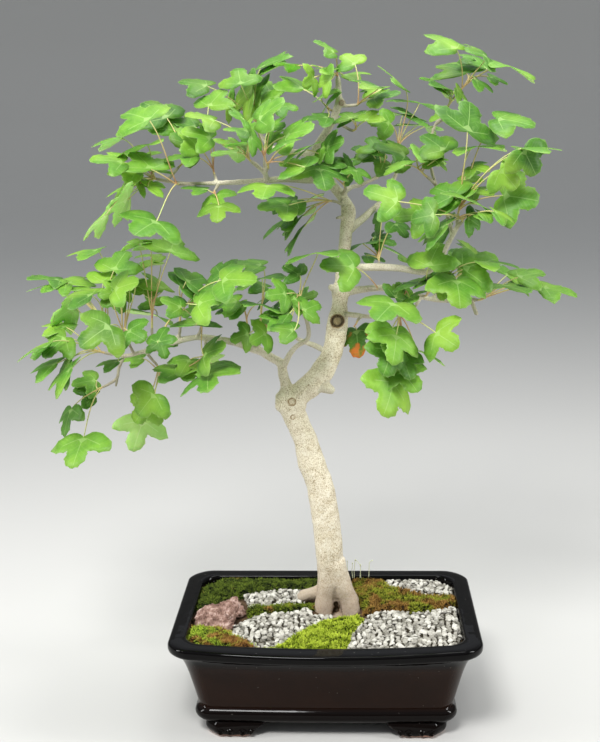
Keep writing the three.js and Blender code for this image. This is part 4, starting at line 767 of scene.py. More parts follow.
@dataclass(frozen=True)
class StonewareGlaze(Finish):
    """Iron-black stoneware glaze, fired glossy.

    The melt is glass: nearly black where thick, on the lip and below the band, and brown on the
    walls between the band and the lip, partly where it runs thin and partly as a painted
    reflection of a brown wooden table, with a faint ripple, a few dust specks, and bare pink
    clay where the feet were wiped.
    """

    thick: str = "#060505"
    # Brown of the walls: partly the glaze running thin, partly a painted reflection of a brown wooden table.
    thin: str = "#2c190f"
    clay: str = "#b98f7e"
    dust: str = "#a9a59c"
    ripple: float = 14.0
    speck: float = 9.0
    wiped_height: float = 3.0

    def surface(self, net: Net, place: Socket) -> dict[str, object]:
        """Returns the surface shader's inputs."""
        height = net.add("SeparateXYZ", {"Vector": place}, out="Z")
        flow = net.add("TexNoise", {"Vector": place, "Scale": per_mm(38), "Detail": 3.0})
        wall = net.add(
            "MapRange", {"Value": height, "From Min": 86 * MM, "From Max": 74 * MM, "To Max": 0.75},
            interpolation_type="SMOOTHSTEP",
        )
        band = net.add(
            "MapRange", {"Value": height, "From Min": 27 * MM, "From Max": 33 * MM, "To Min": 0.12},
            interpolation_type="SMOOTHSTEP",
        )
        on_wall = net.add("Math", {0: wall, 1: band}, operation="MULTIPLY")
        mottle = net.add("MapRange", {"Value": flow, "From Min": 0.3, "From Max": 0.7, "To Min": 0.7})
        # Mottled brown share on the walls from the band to the lip: partly thin glaze, partly painted
        # reflection.
        thin_and_reflected_share = net.add("Math", {0: on_wall, 1: mottle}, operation="MULTIPLY")
        glaze = net.add("Mix", {"Factor": thin_and_reflected_share, MIX_A: self.thick, MIX_B: self.thin}, **OF_COLOURS)
        spots = net.add("TexVoronoi", {"Vector": place, "Scale": per_mm(self.speck)})
        dusty = net.add("MapRange", {"Value": spots, "From Min": 0.05, "From Max": 0.02, "To Max": 0.6})
        dusted = net.add("Mix", {"Factor": dusty, MIX_A: glaze, MIX_B: self.dust}, **OF_COLOURS)
        edge = net.add("TexNoise", {"Vector": place, "Scale": per_mm(9), "Detail": 2.0})
        wander = net.add("Math", {0: edge, 1: -4.5 * MM, 2: height}, operation="MULTIPLY_ADD")
        bare = net.add(
            "MapRange",
            {
                "Value": wander, "From Min": (self.wiped_height - 1.9) * MM,
                "From Max": (self.wiped_height - 2.7) * MM,
            },
        )
        colour = net.add("Mix", {"Factor": bare, MIX_A: dusted, MIX_B: self.clay}, **OF_COLOURS)
        rough = net.add("MapRange", {"Value": bare, "To Min": 0.055, "To Max": 0.85})
        wave = net.add("TexNoise", {"Vector": place, "Scale": per_mm(self.ripple), "Detail": 1.0})
        return {
            "Base Color": colour, "Roughness": rough, "IOR": 1.5, "Specular IOR Level": 0.12,
            "Normal": net.add("Bump", {"Height": wave, "Strength": 0.12, "Distance": 1.0 * MM}),
        }


@dataclass(frozen=True)
class Ground(Finish):
    """Loose natural ground, such as potting soil, crushed stone or lava.

    It is broken mineral grain: fully matt, two or three tones mixed at the size of a grain,
    with a rough relief. Repeated grains take their own tone from the shade attribute.
    """

    dark: str = "#2a1d14"
    middle: str = "#4b3828"
    light: str = "#6d5842"
    grain: float = 2.4
    patch: float = 12.0
    relief: float = 0.8
    roughness: float = 0.95
    shaded: bool = False

    def surface(self, net: Net, place: Socket) -> dict[str, object]:
        """Returns the surface shader's inputs."""
        grain = net.add(
            "TexNoise", {"Vector": place, "Scale": per_mm(self.grain), "Detail": 4.0, "Roughness": 0.65}
        )
        patch = net.add("TexNoise", {"Vector": place, "Scale": per_mm(self.patch), "Detail": 2.0})
        tone = net.add("Math", {0: grain, 1: patch}, operation="ADD")
        if self.shaded:
            own = net.add("Attribute", out="Fac", attribute_name="shade")
            tone = net.add("Math", {0: own, 1: 0.75, 2: tone}, operation="MULTIPLY_ADD")
        level = net.add(
            "MapRange",
            {
                "Value": tone, "From Min": 0.72 if self.shaded else 0.68,
                "From Max": 1.72 if self.shaded else 1.32,
            },
        )
        colour = net.add(
            "ValToRGB", {"Fac": level}, stops=((0.0, self.dark), (0.5, self.middle), (1.0, self.light))
        )
        return {
            "Base Color": colour, "Roughness": self.roughness, "Specular IOR Level": 0.25,
            "Normal": net.add("Bump", {"Height": grain, "Strength": 0.5, "Distance": self.relief * MM}),
        }


@dataclass(frozen=True)
class Moss(Finish):
    """Living cushion moss.

    Soft green growth with no gloss: bright yellow-green at the shoots' tips and dark at their
    feet and on the mound between them, partly the moss's own fresh tips and partly painted
    light on the tips and painted shade in the gaps, and brown where a patch has dried.
    """

    # Darkest green: the moss's own dark, and painted shade at the feet of the shoots and between them.
    deep: str = "#151a06"
    green: str = "#5d7420"
    bright: str = "#a9bf2f"
    dry: str = "#6b4a1c"
    dryness: float = 0.3
    patch: float = 18.0
    clump: float = 8.5

    def surface(self, net: Net, place: Socket) -> dict[str, object]:
        """Returns the surface shader's inputs."""
        shade = net.add("Attribute", out="Fac", attribute_name="shade")
        tip = net.add("Attribute", out="Fac", attribute_name="tip")
        fine = net.add("TexNoise", {"Vector": place, "Scale": per_mm(2.2), "Detail": 3.0})
        spread = net.add("TexNoise", {"Vector": place, "Scale": per_mm(self.patch), "Detail": 3.0})
        # Lighter towards each shoot's tip and darkest on the bare mound: painted light and shade, partly the
        # moss's own fresh tips.
        lit = net.add("Math", {0: tip, 1: 0.75, 2: fine}, operation="MULTIPLY_ADD")
        clump = net.add("TexNoise", {"Vector": place, "Scale": per_mm(self.clump), "Detail": 2.0})
        patched = net.add("Math", {0: clump, 1: 1.5, 2: lit}, operation="MULTIPLY_ADD")
        tone = net.add("Math", {0: shade, 1: 0.45, 2: patched}, operation="MULTIPLY_ADD")
        level = net.add("MapRange", {"Value": tone, "From Min": 1.2, "From Max": 2.2})
        fresh = net.add(
            "ValToRGB", {"Fac": level}, stops=((0.0, self.deep), (0.45, self.green), (1.0, self.bright))
        )
        withered = net.add(
            "MapRange",
            {"Value": spread, "From Min": 0.72 - 0.5 * self.dryness, "From Max": 0.82 - 0.5 * self.dryness},
        )
        brown = net.add(
            "ValToRGB", {"Fac": level}, stops=((0.0, "#1e140a"), (0.5, self.dry), (1.0, "#a98446"))
        )
        colour = net.add("Mix", {"Factor": withered, MIX_A: fresh, MIX_B: brown}, **OF_COLOURS)
        return {
            "Base Color": colour, "Roughness": 0.9, "Specular IOR Level": 0.2,
            "Normal": net.add("Bump", {"Height": fine, "Strength": 0.6, "Distance": 1.0 * MM}),
        }


@dataclass(frozen=True)
class MapleBark(Finish):
    """Thin smooth bark of a young maple.

    Dry cork skin, matt and pale grey-beige, peppered with dark pores about a millimetre
    apart, pinkish by the roots, and plainer grey on thin branches.
    """

    pale: str = "#f7f1e0"
    light: str = "#e5dbc3"
    middle: str = "#bfae8e"
    pore: str = "#7b6e57"
    foot: str = "#a58f7c"
    branch: str = "#bbb7a4"
    twig: str = "#938a76"

    def surface(self, net: Net, place: Socket) -> dict[str, object]:
        """Returns the surface shader's inputs."""
        height = net.add("SeparateXYZ", {"Vector": place}, out="Z")
        girth = net.add("Attribute", out="Fac", attribute_name="girth")
        wound = net.add("Attribute", out="Fac", attribute_name="wound")
        patch = net.add("TexNoise", {"Vector": place, "Scale": per_mm(9), "Detail": 4.0})
        pepper = net.add(
            "TexNoise", {"Vector": place, "Scale": per_mm(1.15), "Detail": 2.0, "Roughness": 0.7}
        )
        mixed = net.add("Math", {0: patch, 1: 0.35, 2: pepper}, operation="MULTIPLY_ADD")
        level = net.add("MapRange", {"Value": mixed, "From Min": 0.43, "From Max": 0.92})
        skin = net.add(
            "ValToRGB", {"Fac": level},
            stops=((0.0, self.pore), (0.24, self.middle), (0.52, self.light), (1.0, self.pale)),
        )
        near_soil = net.add(
            "MapRange", {"Value": height, "From Min": 165 * MM, "From Max": 100 * MM, "To Max": 0.78},
            interpolation_type="SMOOTHSTEP",
        )
        footed = net.add("Mix", {"Factor": near_soil, MIX_A: skin, MIX_B: self.foot}, **OF_COLOURS)
        young = net.add("MapRange", {"Value": girth, "From Min": 0.52, "From Max": 0.2, "To Max": 0.6})
        greened = net.add("Mix", {"Factor": young, MIX_A: footed, MIX_B: self.branch}, **OF_COLOURS)
        youngest = net.add("MapRange", {"Value": girth, "From Min": 0.15, "From Max": 0.09, "To Max": 0.8})
        twiggy = net.add("Mix", {"Factor": youngest, MIX_A: greened, MIX_B: self.twig}, **OF_COLOURS)
        # Scar colour, multiplied in: pale and dark rings, grey-brown faces, and painted shade in the notch
        # between the legs.
        scar_and_notch_shade_tint = net.add(
            "ValToRGB", {"Fac": wound},
            stops=((0.0, "#ffffff"), (0.3, "#b9a68b"), (0.6, "#3a2d20"), (1.0, "#b3a78f")),
        )
        colour = net.add(
            "Mix", {"Factor": 1.0, MIX_A: twiggy, MIX_B: scar_and_notch_shade_tint}, **OF_COLOURS, blend_type="MULTIPLY"
        )
        return {
            "Base Color": colour, "Roughness": 0.82, "Specular IOR Level": 0.3,
            "Normal": net.add("Bump", {"Height": mixed, "Strength": 0.55, "Distance": 0.6 * MM}),
        }


@dataclass(frozen=True)
class LeafSkin(Finish):
    """Living maple leaf, one face of it.

    A waxy green skin over veined tissue: the upper face is deeper green and has a soft
    sheen, the underside is pale and matt, and light passes through a little.
    """

    dark: str = "#24501a"
    middle: str = "#588b2b"
    light: str = "#8abb3f"
    fresh: str = "#a4c944"
    vein: str = "#b4d483"
    burnt: str = "#c8742f"
    roughness: float = 0.48
    vein_strength: float = 0.4
    glow: float = 0.06

    def surface(self, net: Net, place: Socket) -> dict[str, object]:
        """Returns the surface shader's inputs."""
        shade, scorch, rib, reach, margin = (
            net.add("Attribute", out="Fac", attribute_name=name)
            for name in ("shade", "scorch", "rib", "reach", "margin")
        )
        wax = net.add("TexNoise", {"Vector": place, "Scale": per_mm(11), "Detail": 3.0})
        tone = net.add("Math", {0: wax, 1: 0.7, 2: shade}, operation="MULTIPLY_ADD")
        level = net.add("MapRange", {"Value": tone, "From Min": 0.28, "From Max": 1.5})
        green = net.add(
            "ValToRGB", {"Fac": level}, stops=((0.0, self.dark), (0.5, self.middle), (1.0, self.light))
        )
        branchwise = net.add("TexNoise", {"Vector": place, "Scale": per_mm(52), "Detail": 1.0})
        sunny = net.add("MapRange", {"Value": branchwise, "From Min": 0.48, "From Max": 0.72, "To Max": 0.5})
        green = net.add("Mix", {"Factor": sunny, MIX_A: green, MIX_B: self.fresh}, **OF_COLOURS)
        main_vein = net.add(
            "MapRange", {"Value": rib, "From Min": 0.016, "From Max": 0.004, "To Max": self.vein_strength}
        )
        # Side veins leave the main vein at a slant, about 4 mm apart.
        slant = net.add("Math", {0: rib, 1: -0.75, 2: reach}, operation="MULTIPLY_ADD")
        beat = net.add("Math", {0: slant, 1: 52.0}, operation="MULTIPLY")
        wave = net.add("Math", {0: beat}, operation="SINE")
        side_vein = net.add(
            "MapRange", {"Value": wave, "From Min": 0.88, "From Max": 1.0, "To Max": self.vein_strength * 0.3}
        )
        veins = net.add("Math", {0: main_vein, 1: side_vein}, operation="MAXIMUM")
        edge = net.add("MapRange", {"Value": margin, "From Min": 0.02, "From Max": 0.0, "To Max": 0.22})
        pale = net.add("Math", {0: veins, 1: edge}, operation="MAXIMUM")
        veined = net.add("Mix", {"Factor": pale, MIX_A: green, MIX_B: self.vein}, **OF_COLOURS)
        dried = net.add("Math", {0: reach, 1: -0.5, 2: wax}, operation="MULTIPLY_ADD")
        spot = net.add("MapRange", {"Value": dried, "From Min": 0.22, "From Max": 0.08})
        burn = net.add("Math", {0: spot, 1: scorch}, operation="MULTIPLY")
        colour = net.add("Mix", {"Factor": burn, MIX_A: veined, MIX_B: self.burnt}, **OF_COLOURS)
        return {
            "Base Color": colour, "Roughness": self.roughness, "IOR": 1.45, "Specular IOR Level": 0.36,
            "Subsurface Weight": self.glow, "Subsurface Radius": (0.6, 1.0, 0.3),
            "Subsurface Scale": 1.2 * MM,
            "Normal": net.add("Bump", {"Height": pale, "Strength": 0.35, "Distance": 0.4 * MM}, invert=True),
        }


@dataclass(frozen=True)
class LeafStalk(Finish):
    """Leaf stalks and this year's shoots.

    Smooth green skin, flushed pink towards the shoot, with a faint sheen.
    """

    flushed: str = "#bf8468"
    middle: str = "#cbb679"
    green: str = "#c2cf84"

    def surface(self, net: Net, place: Socket) -> dict[str, object]:
        """Returns the surface shader's inputs."""
        blush = net.add("Attribute", out="Fac", attribute_name="blush")
        patch = net.add("TexNoise", {"Vector": place, "Scale": per_mm(14), "Detail": 2.0})
        mixed = net.add("Math", {0: patch, 1: 0.9, 2: blush}, operation="MULTIPLY_ADD")
        level = net.add("MapRange", {"Value": mixed, "From Min": 0.5, "From Max": 1.45})
        colour = net.add(
            "ValToRGB", {"Fac": level}, stops=((0.0, self.green), (0.5, self.middle), (1.0, self.flushed))
        )
        return {"Base Color": colour, "Roughness": 0.5}


@dataclass(frozen=True)
class MouldedPlastic(Finish):
    """Black moulded polyethylene of a drainage screen: matt, with a faint moulding grain."""

    colour: str = "#17181a"
    scuffed: str = "#2c2d2f"

    def surface(self, net: Net, place: Socket) -> dict[str, object]:
        """Returns the surface shader's inputs."""
        grain = net.add("TexNoise", {"Vector": place, "Scale": per_mm(1.5), "Detail": 3.0})
        colour = net.add("Mix", {"Factor": grain, MIX_A: self.colour, MIX_B: self.scuffed}, **OF_COLOURS)
        return {
            "Base Color": colour, "Roughness": 0.6,
            "Normal": net.add("Bump", {"Height": grain, "Strength": 0.3, "Distance": 0.1 * MM}),
        }


# ------------------------------------------------------------------ pot


@dataclass
class PotShell:
    """The glazed pot: wall with lip and raised band, floor, and four cloud feet."""

    width: float = 305.0
    depth: float = 203.0
    corner_cut: float = 24.5
    foot_width: float = 30.0
    foot_half_width: float = 119.0
    foot_half_depth: float = 68.0
    foot_cut: float = 12.0
    # How much shorter a foot is on the short side, and the start and steps of its rounding.
    foot_side_less: float = 5.0
    foot_rounding: float = 4.5
    foot_steps: int = 4
    # Height of a curl's middle, its radius, what the radius loses, and its turn in degrees.
    curl_height: float = 6.8
    curl_radius: float = 1.35
    curl_taper: float = 0.45
    curl_turn: float = 400.0
    curl_steps: int = 16
    # Whether a curl is on the long side, its middle from the corner, its size and its turn.
    curls: tuple[tuple[bool, float, float, int], ...] = (
        (True, 15.0, 4.0, 1), (True, 25.5, 3.4, -1), (True, 37.0, 4.2, 1), (True, 46.0, 2.4, -1),
        (False, 16.0, 4.0, -1), (False, 27.0, 3.2, 1),
    )  # fmt: skip
    drain_radius: float = 7.0
    drain_x: float = 62.0
    drain_levels: tuple[float, ...] = (11.0, 13.0, 18.0, 23.0, 25.0)
    # The corner's cut loses this share of a level's inset; its curve pulls by the second one.
    cut_share: float = 0.41
    corner_pull: float = 1.65
    corner_steps: int = 10
    crease: float = math.radians(38)
    # Height, half width and bow of the front, from the underside up, over the lip and down.
    outside: Points = (
        (13.5, 117.5, 1.2), (13.6, 121.0, 1.5), (14.4, 123.8, 1.8), (16.0, 126.4, 2.0),
        (18.0, 128.2, 2.0), (20.5, 129.3, 2.0), (23.5, 129.6, 2.0), (26.0, 129.0, 2.0),
        (28.2, 127.6, 2.0), (29.4, 126.0, 2.0), (30.4, 125.6, 2.0), (32.0, 126.2, 2.0),
        (36.0, 127.2, 2.1), (42.0, 128.6, 2.2), (48.0, 130.0, 2.4), (56.0, 132.0, 2.7),
        (64.0, 134.0, 3.0), (71.0, 136.0, 3.4), (78.0, 138.4, 3.8), (83.0, 140.7, 4.3),
        (87.0, 143.0, 5.0), (89.6, 145.0, 5.8), (91.2, 146.6, 7.0), (92.0, 148.6, 8.6),
        (92.6, 150.4, 10.2), (93.8, 151.8, 11.2), (95.6, 152.4, 11.8), (98.0, 152.5, 12.0),
        (100.2, 152.4, 12.0), (101.6, 151.9, 12.0), (102.6, 150.8, 12.0), (103.0, 149.2, 11.9),
        (103.0, 145.0, 11.0), (103.0, 140.0, 9.6), (103.0, 137.6, 8.6), (102.7, 136.4, 8.2),
        (101.8, 135.5, 8.0), (100.0, 135.0, 8.0), (96.0, 134.0, 8.0), (88.0, 132.5, 6.0),
        (80.0, 131.0, 4.0), (64.0, 127.0, 3.2), (50.0, 123.0, 2.4), (34.0, 119.6, 1.8),
        (25.0, 117.5, 1.5), (22.0, 114.0, 1.4),
    )  # fmt: skip
    # Height, reach along the wall, and insets of a foot's end and front faces.
    foot_profile: Points = (
        (0.0, 36.0, 7.0, -5.6), (0.4, 38.0, 5.2, -7.2), (1.4, 41.0, 3.0, -9.0), (3.0, 44.0, 1.2, -10.4),
        (5.0, 47.0, 0.0, -11.0), (7.2, 50.0, -0.6, -11.3), (9.4, 53.0, -0.6, -11.2), (11.4, 56.0, 0.0, -10.8),
        (13.4, 58.0, 1.0, -10.2), (15.6, 58.0, 2.0, -9.0),
    )  # fmt: skip

    def outline(self, half_width: float, bow: float, z: float) -> list[Vector]:
        """Returns one level of the pot, anticlockwise, with rounded cut corners."""
        inset = self.width / 2 - half_width
        half_depth = self.depth / 2 - inset
        cut = self.corner_cut - self.cut_share * inset
        corner = []
        for k in range(self.corner_steps + 1):
            t = k / self.corner_steps
            s = 1 - t
            corner.append((self.corner_pull * s * t * t + t**3, s**3 + self.corner_pull * s * s * t))
        sides: list[Vector] = []
        # For each corner its sides, the order of its points, and the steps of the wall after it.
        corners = ((1, -1, 1, 10), (1, 1, -1, 16), (-1, 1, 1, 10), (-1, -1, -1, 16))
        for side_x, side_y, order, count in corners:
            for u, v in corner[::order]:
                sides.append(Vector((side_x * (half_width - cut * v), side_y * (half_depth - cut * u), z)))
            start = sides[-1]
            end = Vector((start.x, -start.y, z)) if order > 0 else Vector((-start.x, start.y, z))
            swell = bow if side_x < 0 and side_y < 0 else 0.0
            for k in range(1, count):
                point = start.lerp(end, k / count)
                share = point.x / (half_width - cut)
                sides.append(point - Vector((0.0, swell * (1 - share**2), 0.0)))
        return sides

    def foot(self, side_x: int, side_y: int) -> Shell:
        """Returns a cloud foot, which runs along both walls from the corner."""
        rings = []
        for z, reach, inset_x, inset_y in self.foot_profile:
            x, y = self.foot_half_width - inset_x, self.foot_half_depth - inset_y
            far_x, far_y = x - reach, y - reach + self.foot_side_less
            inner_x, inner_y = x - self.foot_width, y - self.foot_width
            corners = [
                (far_x, y), (x - self.foot_cut, y), (x, y - self.foot_cut), (x, far_y),
                (inner_x, far_y), (inner_x, inner_y), (far_x, inner_y),
            ]  # fmt: skip
            places = [Vector((side_x * u, side_y * v, z)) + POT_CENTRE for u, v in corners]
            ring = rounded(places, self.foot_rounding, self.foot_steps)
            rings.append(ring if side_x * side_y > 0 else ring[::-1])
        foot = Shell()
        foot.add_rings(rings)
        return foot

    def add_scrolls(self, curls: Shell, side_x: int, side_y: int) -> None:
        """Adds the raised curls on a foot's two outer faces."""
        for along_x, start, reach, turn in self.curls:
            path, radii = [], []
            for k in range(self.curl_steps + 1):
                t = k / self.curl_steps
                angle = math.radians(-100 + turn * self.curl_turn * t)
                r = reach * (1 - 0.7 * t)
                along, up = start + r * math.cos(angle), self.curl_height + 0.8 * r * math.sin(angle)
                _, _, inset_x, inset_y = min(self.foot_profile, key=lambda row: abs(row[0] - up))
                x = self.foot_half_width - (along if along_x else inset_x)
                y = self.foot_half_depth - (inset_y if along_x else along)
                path.append(Vector((side_x * x, side_y * y, up)) + POT_CENTRE)
                radii.append(self.curl_radius - self.curl_taper * t)
            curls.add_tube(path, radii, 8)

    def build(self) -> Piece:
        """Builds the pot as one closed skin with its two drainage holes."""
        rings = [self.outline(half, bow, z) for z, half, bow in self.outside]
        wall = Shell()
        wall.add_rings([[p + POT_CENTRE for p in ring] for ring in rings])
        pot = wall.make("pot_shell")
        tools = []
        curls = Shell()
        for side_x in (-1, 1):
            for side_y in (-1, 1):
                tools.append((self.foot(side_x, side_y).make("pot_foot"), "UNION"))
                self.add_scrolls(curls, side_x, side_y)
            hole = Shell()
            middle = POT_CENTRE + Vector((side_x * self.drain_x, 0.0, 0.0))
            rise = [middle + Vector((0, 0, z)) for z in self.drain_levels]
            hole.add_rings([circle(place, self.drain_radius, 32) for place in rise])
            tools.append((hole.make("drain_hole"), "DIFFERENCE"))
        fix_normals(pot)
        for tool, operation in tools:
            fix_normals(tool)
            cut = pot.modifiers.new("cut", "BOOLEAN")
            cut.object = tool
            cut.operation = operation
            cut.solver = "EXACT"
            settle(pot)
        raised = curls.make("pot_curls")
        fix_normals(raised)
        work = bmesh.new()
        work.from_mesh(pot.data)
        work.from_mesh(raised.data)
        work.to_mesh(pot.data)
        work.free()
        for mesh in (raised.data, *(tool.data for tool, _ in tools)):
            bpy.data.meshes.remove(mesh)
        pot.data.shade_smooth()
        pot.data.set_sharp_from_angle(angle=self.crease)
        dress(pot, StonewareGlaze("iron_black_stoneware_glaze").make())
        finish_piece(pot, "glaze", "pot")
        return pot


def rounded(corners: list[Vector], radius: float, steps: int) -> list[Vector]:
    """Rounds the corners of a closed outline.

    Args:
        corners: The outline's corners.
        radius: How far before and after a corner its curve starts.
        steps: The number of segments in each curve.

    Returns:
        The rounded outline.
    """
    points = []
    for i, corner in enumerate(corners):
        before = corners[i - 1] - corner
        after = corners[(i + 1) % len(corners)] - corner
        reach = min(radius, 0.45 * before.length, 0.45 * after.length)
        start = corner + before.normalized() * reach
        end = corner + after.normalized() * reach
        points += [bent(start, corner, end, k / steps) for k in range(steps + 1)]
    return points


def circle(middle: Vector, radius: float, sides: int) -> list[Vector]:
    """Returns a level ring of points, anticlockwise."""
    turns = [math.tau * k / sides for k in range(sides)]
    return [middle + Vector((radius * math.cos(a), radius * math.sin(a), 0.0)) for a in turns]


def fix_normals(piece: Piece) -> None:
    """Merges a closed mesh's doubles and turns its faces outwards."""
    work = bmesh.new()
    work.from_mesh(piece.data)
    bmesh.ops.remove_doubles(work, verts=work.verts, dist=0.02 * MM)
    bmesh.ops.recalc_face_normals(work, faces=work.faces)
    work.to_mesh(piece.data)
    work.free()


def remesh(piece: Piece, voxel: float, easing: int) -> None:
    """Fuses a piece's closed parts into one even skin.

    Args:
        piece: The piece.
        voxel: The size of the skin's cells in millimetres.
        easing: How often the skin is smoothed.
    """
    skin = piece.modifiers.new("skin", "REMESH")
    skin.mode = "VOXEL"
    skin.voxel_size = voxel * MM
    skin.use_smooth_shade = True
    if easing:
        ease = piece.modifiers.new("ease", "SMOOTH")
        ease.factor = 0.5
        ease.iterations = easing
    settle(piece)


# ------------------------------------------------------------------ ground cover


class Scatter:
    """Geometry trees that strew small shapes over a surface."""

    INPUTS = {
        "Forms": "NodeSocketCollection",
        "Spacing": "NodeSocketFloat",
        "Smallest": "NodeSocketFloat",
        "Largest": "NodeSocketFloat",
        "Tilt": "NodeSocketFloat",
        "Lift": "NodeSocketFloat",
        "Seed": "NodeSocketInt",
        "Ground": "NodeSocketMaterial",
        "Cover": "NodeSocketMaterial",
    }

    def __init__(self) -> None:
        """Builds the tree once for all beds."""
        self.tree = self.build()

    def build(self) -> Tree:
        """Builds the tree: points on the upward faces, forms on them, tones, materials."""
        net, source = start_tree("strewn_cover", self.INPUTS)
        normal = net.add("GeometryNodeInputNormal")
        facing = net.add("SeparateXYZ", {"Vector": normal}, out="Z")
        upward = net.add(
            "FunctionNodeCompare", {0: facing, 1: 0.25}, data_type="FLOAT", operation="GREATER_THAN"
        )
        points = net.add(
            "GeometryNodeDistributePointsOnFaces",
            {
                "Mesh": source["Geometry"], "Selection": upward, "Distance Min": source["Spacing"],
                "Density Max": 2000000.0, "Seed": source["Seed"],
            },
            distribute_method="POISSON",
        )
        tone = net.add("FunctionNodeRandomValue", {"Seed": source["Seed"]}, out=1, data_type="FLOAT")
        toned = net.add(
            "GeometryNodeStoreNamedAttribute", {"Geometry": points, "Name": "shade", "Value": tone},
            data_type="FLOAT", domain="POINT",
        )
        turn = net.add(
            "FunctionNodeRandomValue",
            {0: (-1.0, -1.0, -3.1416), 1: (1.0, 1.0, 3.1416), "Seed": source["Seed"]},
            data_type="FLOAT_VECTOR",
        )
        leaning = net.add("CombineXYZ", {"X": source["Tilt"], "Y": source["Tilt"], "Z": 1.0})
        tilted = net.add("VectorMath", {0: turn, 1: leaning}, operation="MULTIPLY")
        own = net.add("FunctionNodeEulerToRotation", {0: tilted})
        standing = net.add(
            "FunctionNodeRotateRotation", {0: points.node.outputs["Rotation"], 1: own}, rotation_space="LOCAL"
        )
        index = net.add("GeometryNodeInputIndex")
        size = net.add(
            "FunctionNodeRandomValue",
            {2: source["Smallest"], 3: source["Largest"], "Seed": source["Seed"], "ID": index}, out=1,
            data_type="FLOAT",
        )
        last_form = FORM_COUNT - 1
        pick = net.add(
            "FunctionNodeRandomValue", {4: 0, 5: last_form, "Seed": source["Seed"]}, out=2, data_type="INT"
        )
        rise = net.add("Math", {0: tone, 1: source["Lift"]}, operation="MULTIPLY")
        offset = net.add("CombineXYZ", {"Z": rise})
        raised = net.add("GeometryNodeSetPosition", {"Geometry": toned, "Offset": offset})
        forms = net.add(
            "GeometryNodeCollectionInfo",
            {"Collection": source["Forms"], "Separate Children": True, "Reset Children": True},
        )
        strewn = net.add(
            "GeometryNodeInstanceOnPoints",
            {
                "Points": raised, "Instance": forms, "Pick Instance": True, "Instance Index": pick,
                "Rotation": standing, "Scale": size,
            },
        )
        whole = net.add("GeometryNodeRealizeInstances", {0: strewn})
        cover = net.add("GeometryNodeSetMaterial", {0: whole, "Material": source["Cover"]})
        ground = net.add("GeometryNodeSetMaterial", {0: source["Geometry"], "Material": source["Ground"]})
        joined = net.add("GeometryNodeJoinGeometry", {0: [cover, ground]})
        net.add("NodeGroupOutput", {0: joined})
        return net.tree


@dataclass(frozen=True)
class Laying:
    """How a kind of bed is laid and strewn, in millimetres, and the seed of its first bed."""

    height: float
    edge: float
    roll: float
    cushions: float
    spacing: float
    smallest: float
    largest: float
    lift: float
    seed: int
    slot: str


@dataclass
class Bed:
    """A bed that lies on the soil: a low mound inside an outline.

    The outline is anticlockwise, in millimetres from the pot's middle.
    """

    name: str
    outline: Points
    laying: Laying
    pitch: float = 3.0

    def inside(self, x: float, y: float) -> float:
        """Returns how far a place is inside the outline, or less than nothing outside."""
        inside, nearest = False, 1e9
        for i, (ax, ay) in enumerate(self.outline):
            bx, by = self.outline[i - 1]
            if (ay > y) != (by > y) and x < (bx - ax) * (y - ay) / (by - ay) + ax:
                inside = not inside
            ex, ey = bx - ax, by - ay
            t = max(0.0, min(1.0, ((x - ax) * ex + (y - ay) * ey) / (ex * ex + ey * ey)))
            nearest = min(nearest, math.hypot(x - ax - t * ex, y - ay - t * ey))
        return nearest if inside else -nearest

    def mound(self) -> Piece:
        """Builds the closed mound, its top rolling like laid ground."""
        border = []
        for i, (bx, by) in enumerate(self.outline):
            ax, ay = self.outline[i - 1]
            count = max(1, round(math.hypot(bx - ax, by - ay) / self.pitch))
            for k in range(count):
                t = k / count
                wobble = 1.1 * noise.noise(Vector((ax + t * (bx - ax), ay + t * (by - ay), 5.0)) * 0.16)
                border.append(Vector((ax + t * (bx - ax) + wobble, ay + t * (by - ay) + wobble)))
        inner = []
        low_x, high_x = min(x for x, _ in self.outline), max(x for x, _ in self.outline)
        low_y, high_y = min(y for _, y in self.outline), max(y for _, y in self.outline)
        rows = int((high_y - low_y) / (self.pitch * ROW_STEP)) + 1
        columns = int((high_x - low_x) / self.pitch) + 1
        for r in range(rows):
            for c in range(columns):
                x = low_x + (c + (r % 2) / 2) * self.pitch
                y = low_y + r * self.pitch * ROW_STEP
                if self.inside(x, y) > 0.6 * self.pitch:
                    inner.append(Vector((x, y)))
        result = delaunay_2d_cdt(border + inner, [], [list(range(len(border)))], 1, 1e-4)
        top = []
        laying = self.laying
        for point in result[0]:
            rise = min(1.0, max(0.0, self.inside(point.x, point.y)) / laying.edge)
            rise = math.sin(rise * math.pi / 2)
            roll = laying.roll * noise.noise(Vector((point.x, point.y, 1.0)) * 0.07)
            ripple = 0.35 * laying.roll * noise.noise(Vector((point.x, point.y, 9.0)) * 0.25)
            cushion = noise.voronoi(Vector((point.x, point.y, 0.0)) * 0.085)[0][0]
            ripple -= laying.cushions * (cushion**2 - 0.25)
            height = BED_BASE + 0.5 + rise * (laying.height + roll + ripple)
            top.append(Vector((point.x, point.y, height)) + POT_CENTRE)
        under = [Vector((p.x, p.y, BED_BASE)) for p in top]
        faces = [tuple(face) for face in result[2]]
        piece = closed(top, under, faces).make(f"{self.name}_bed")
        fix_normals(piece)
        return piece


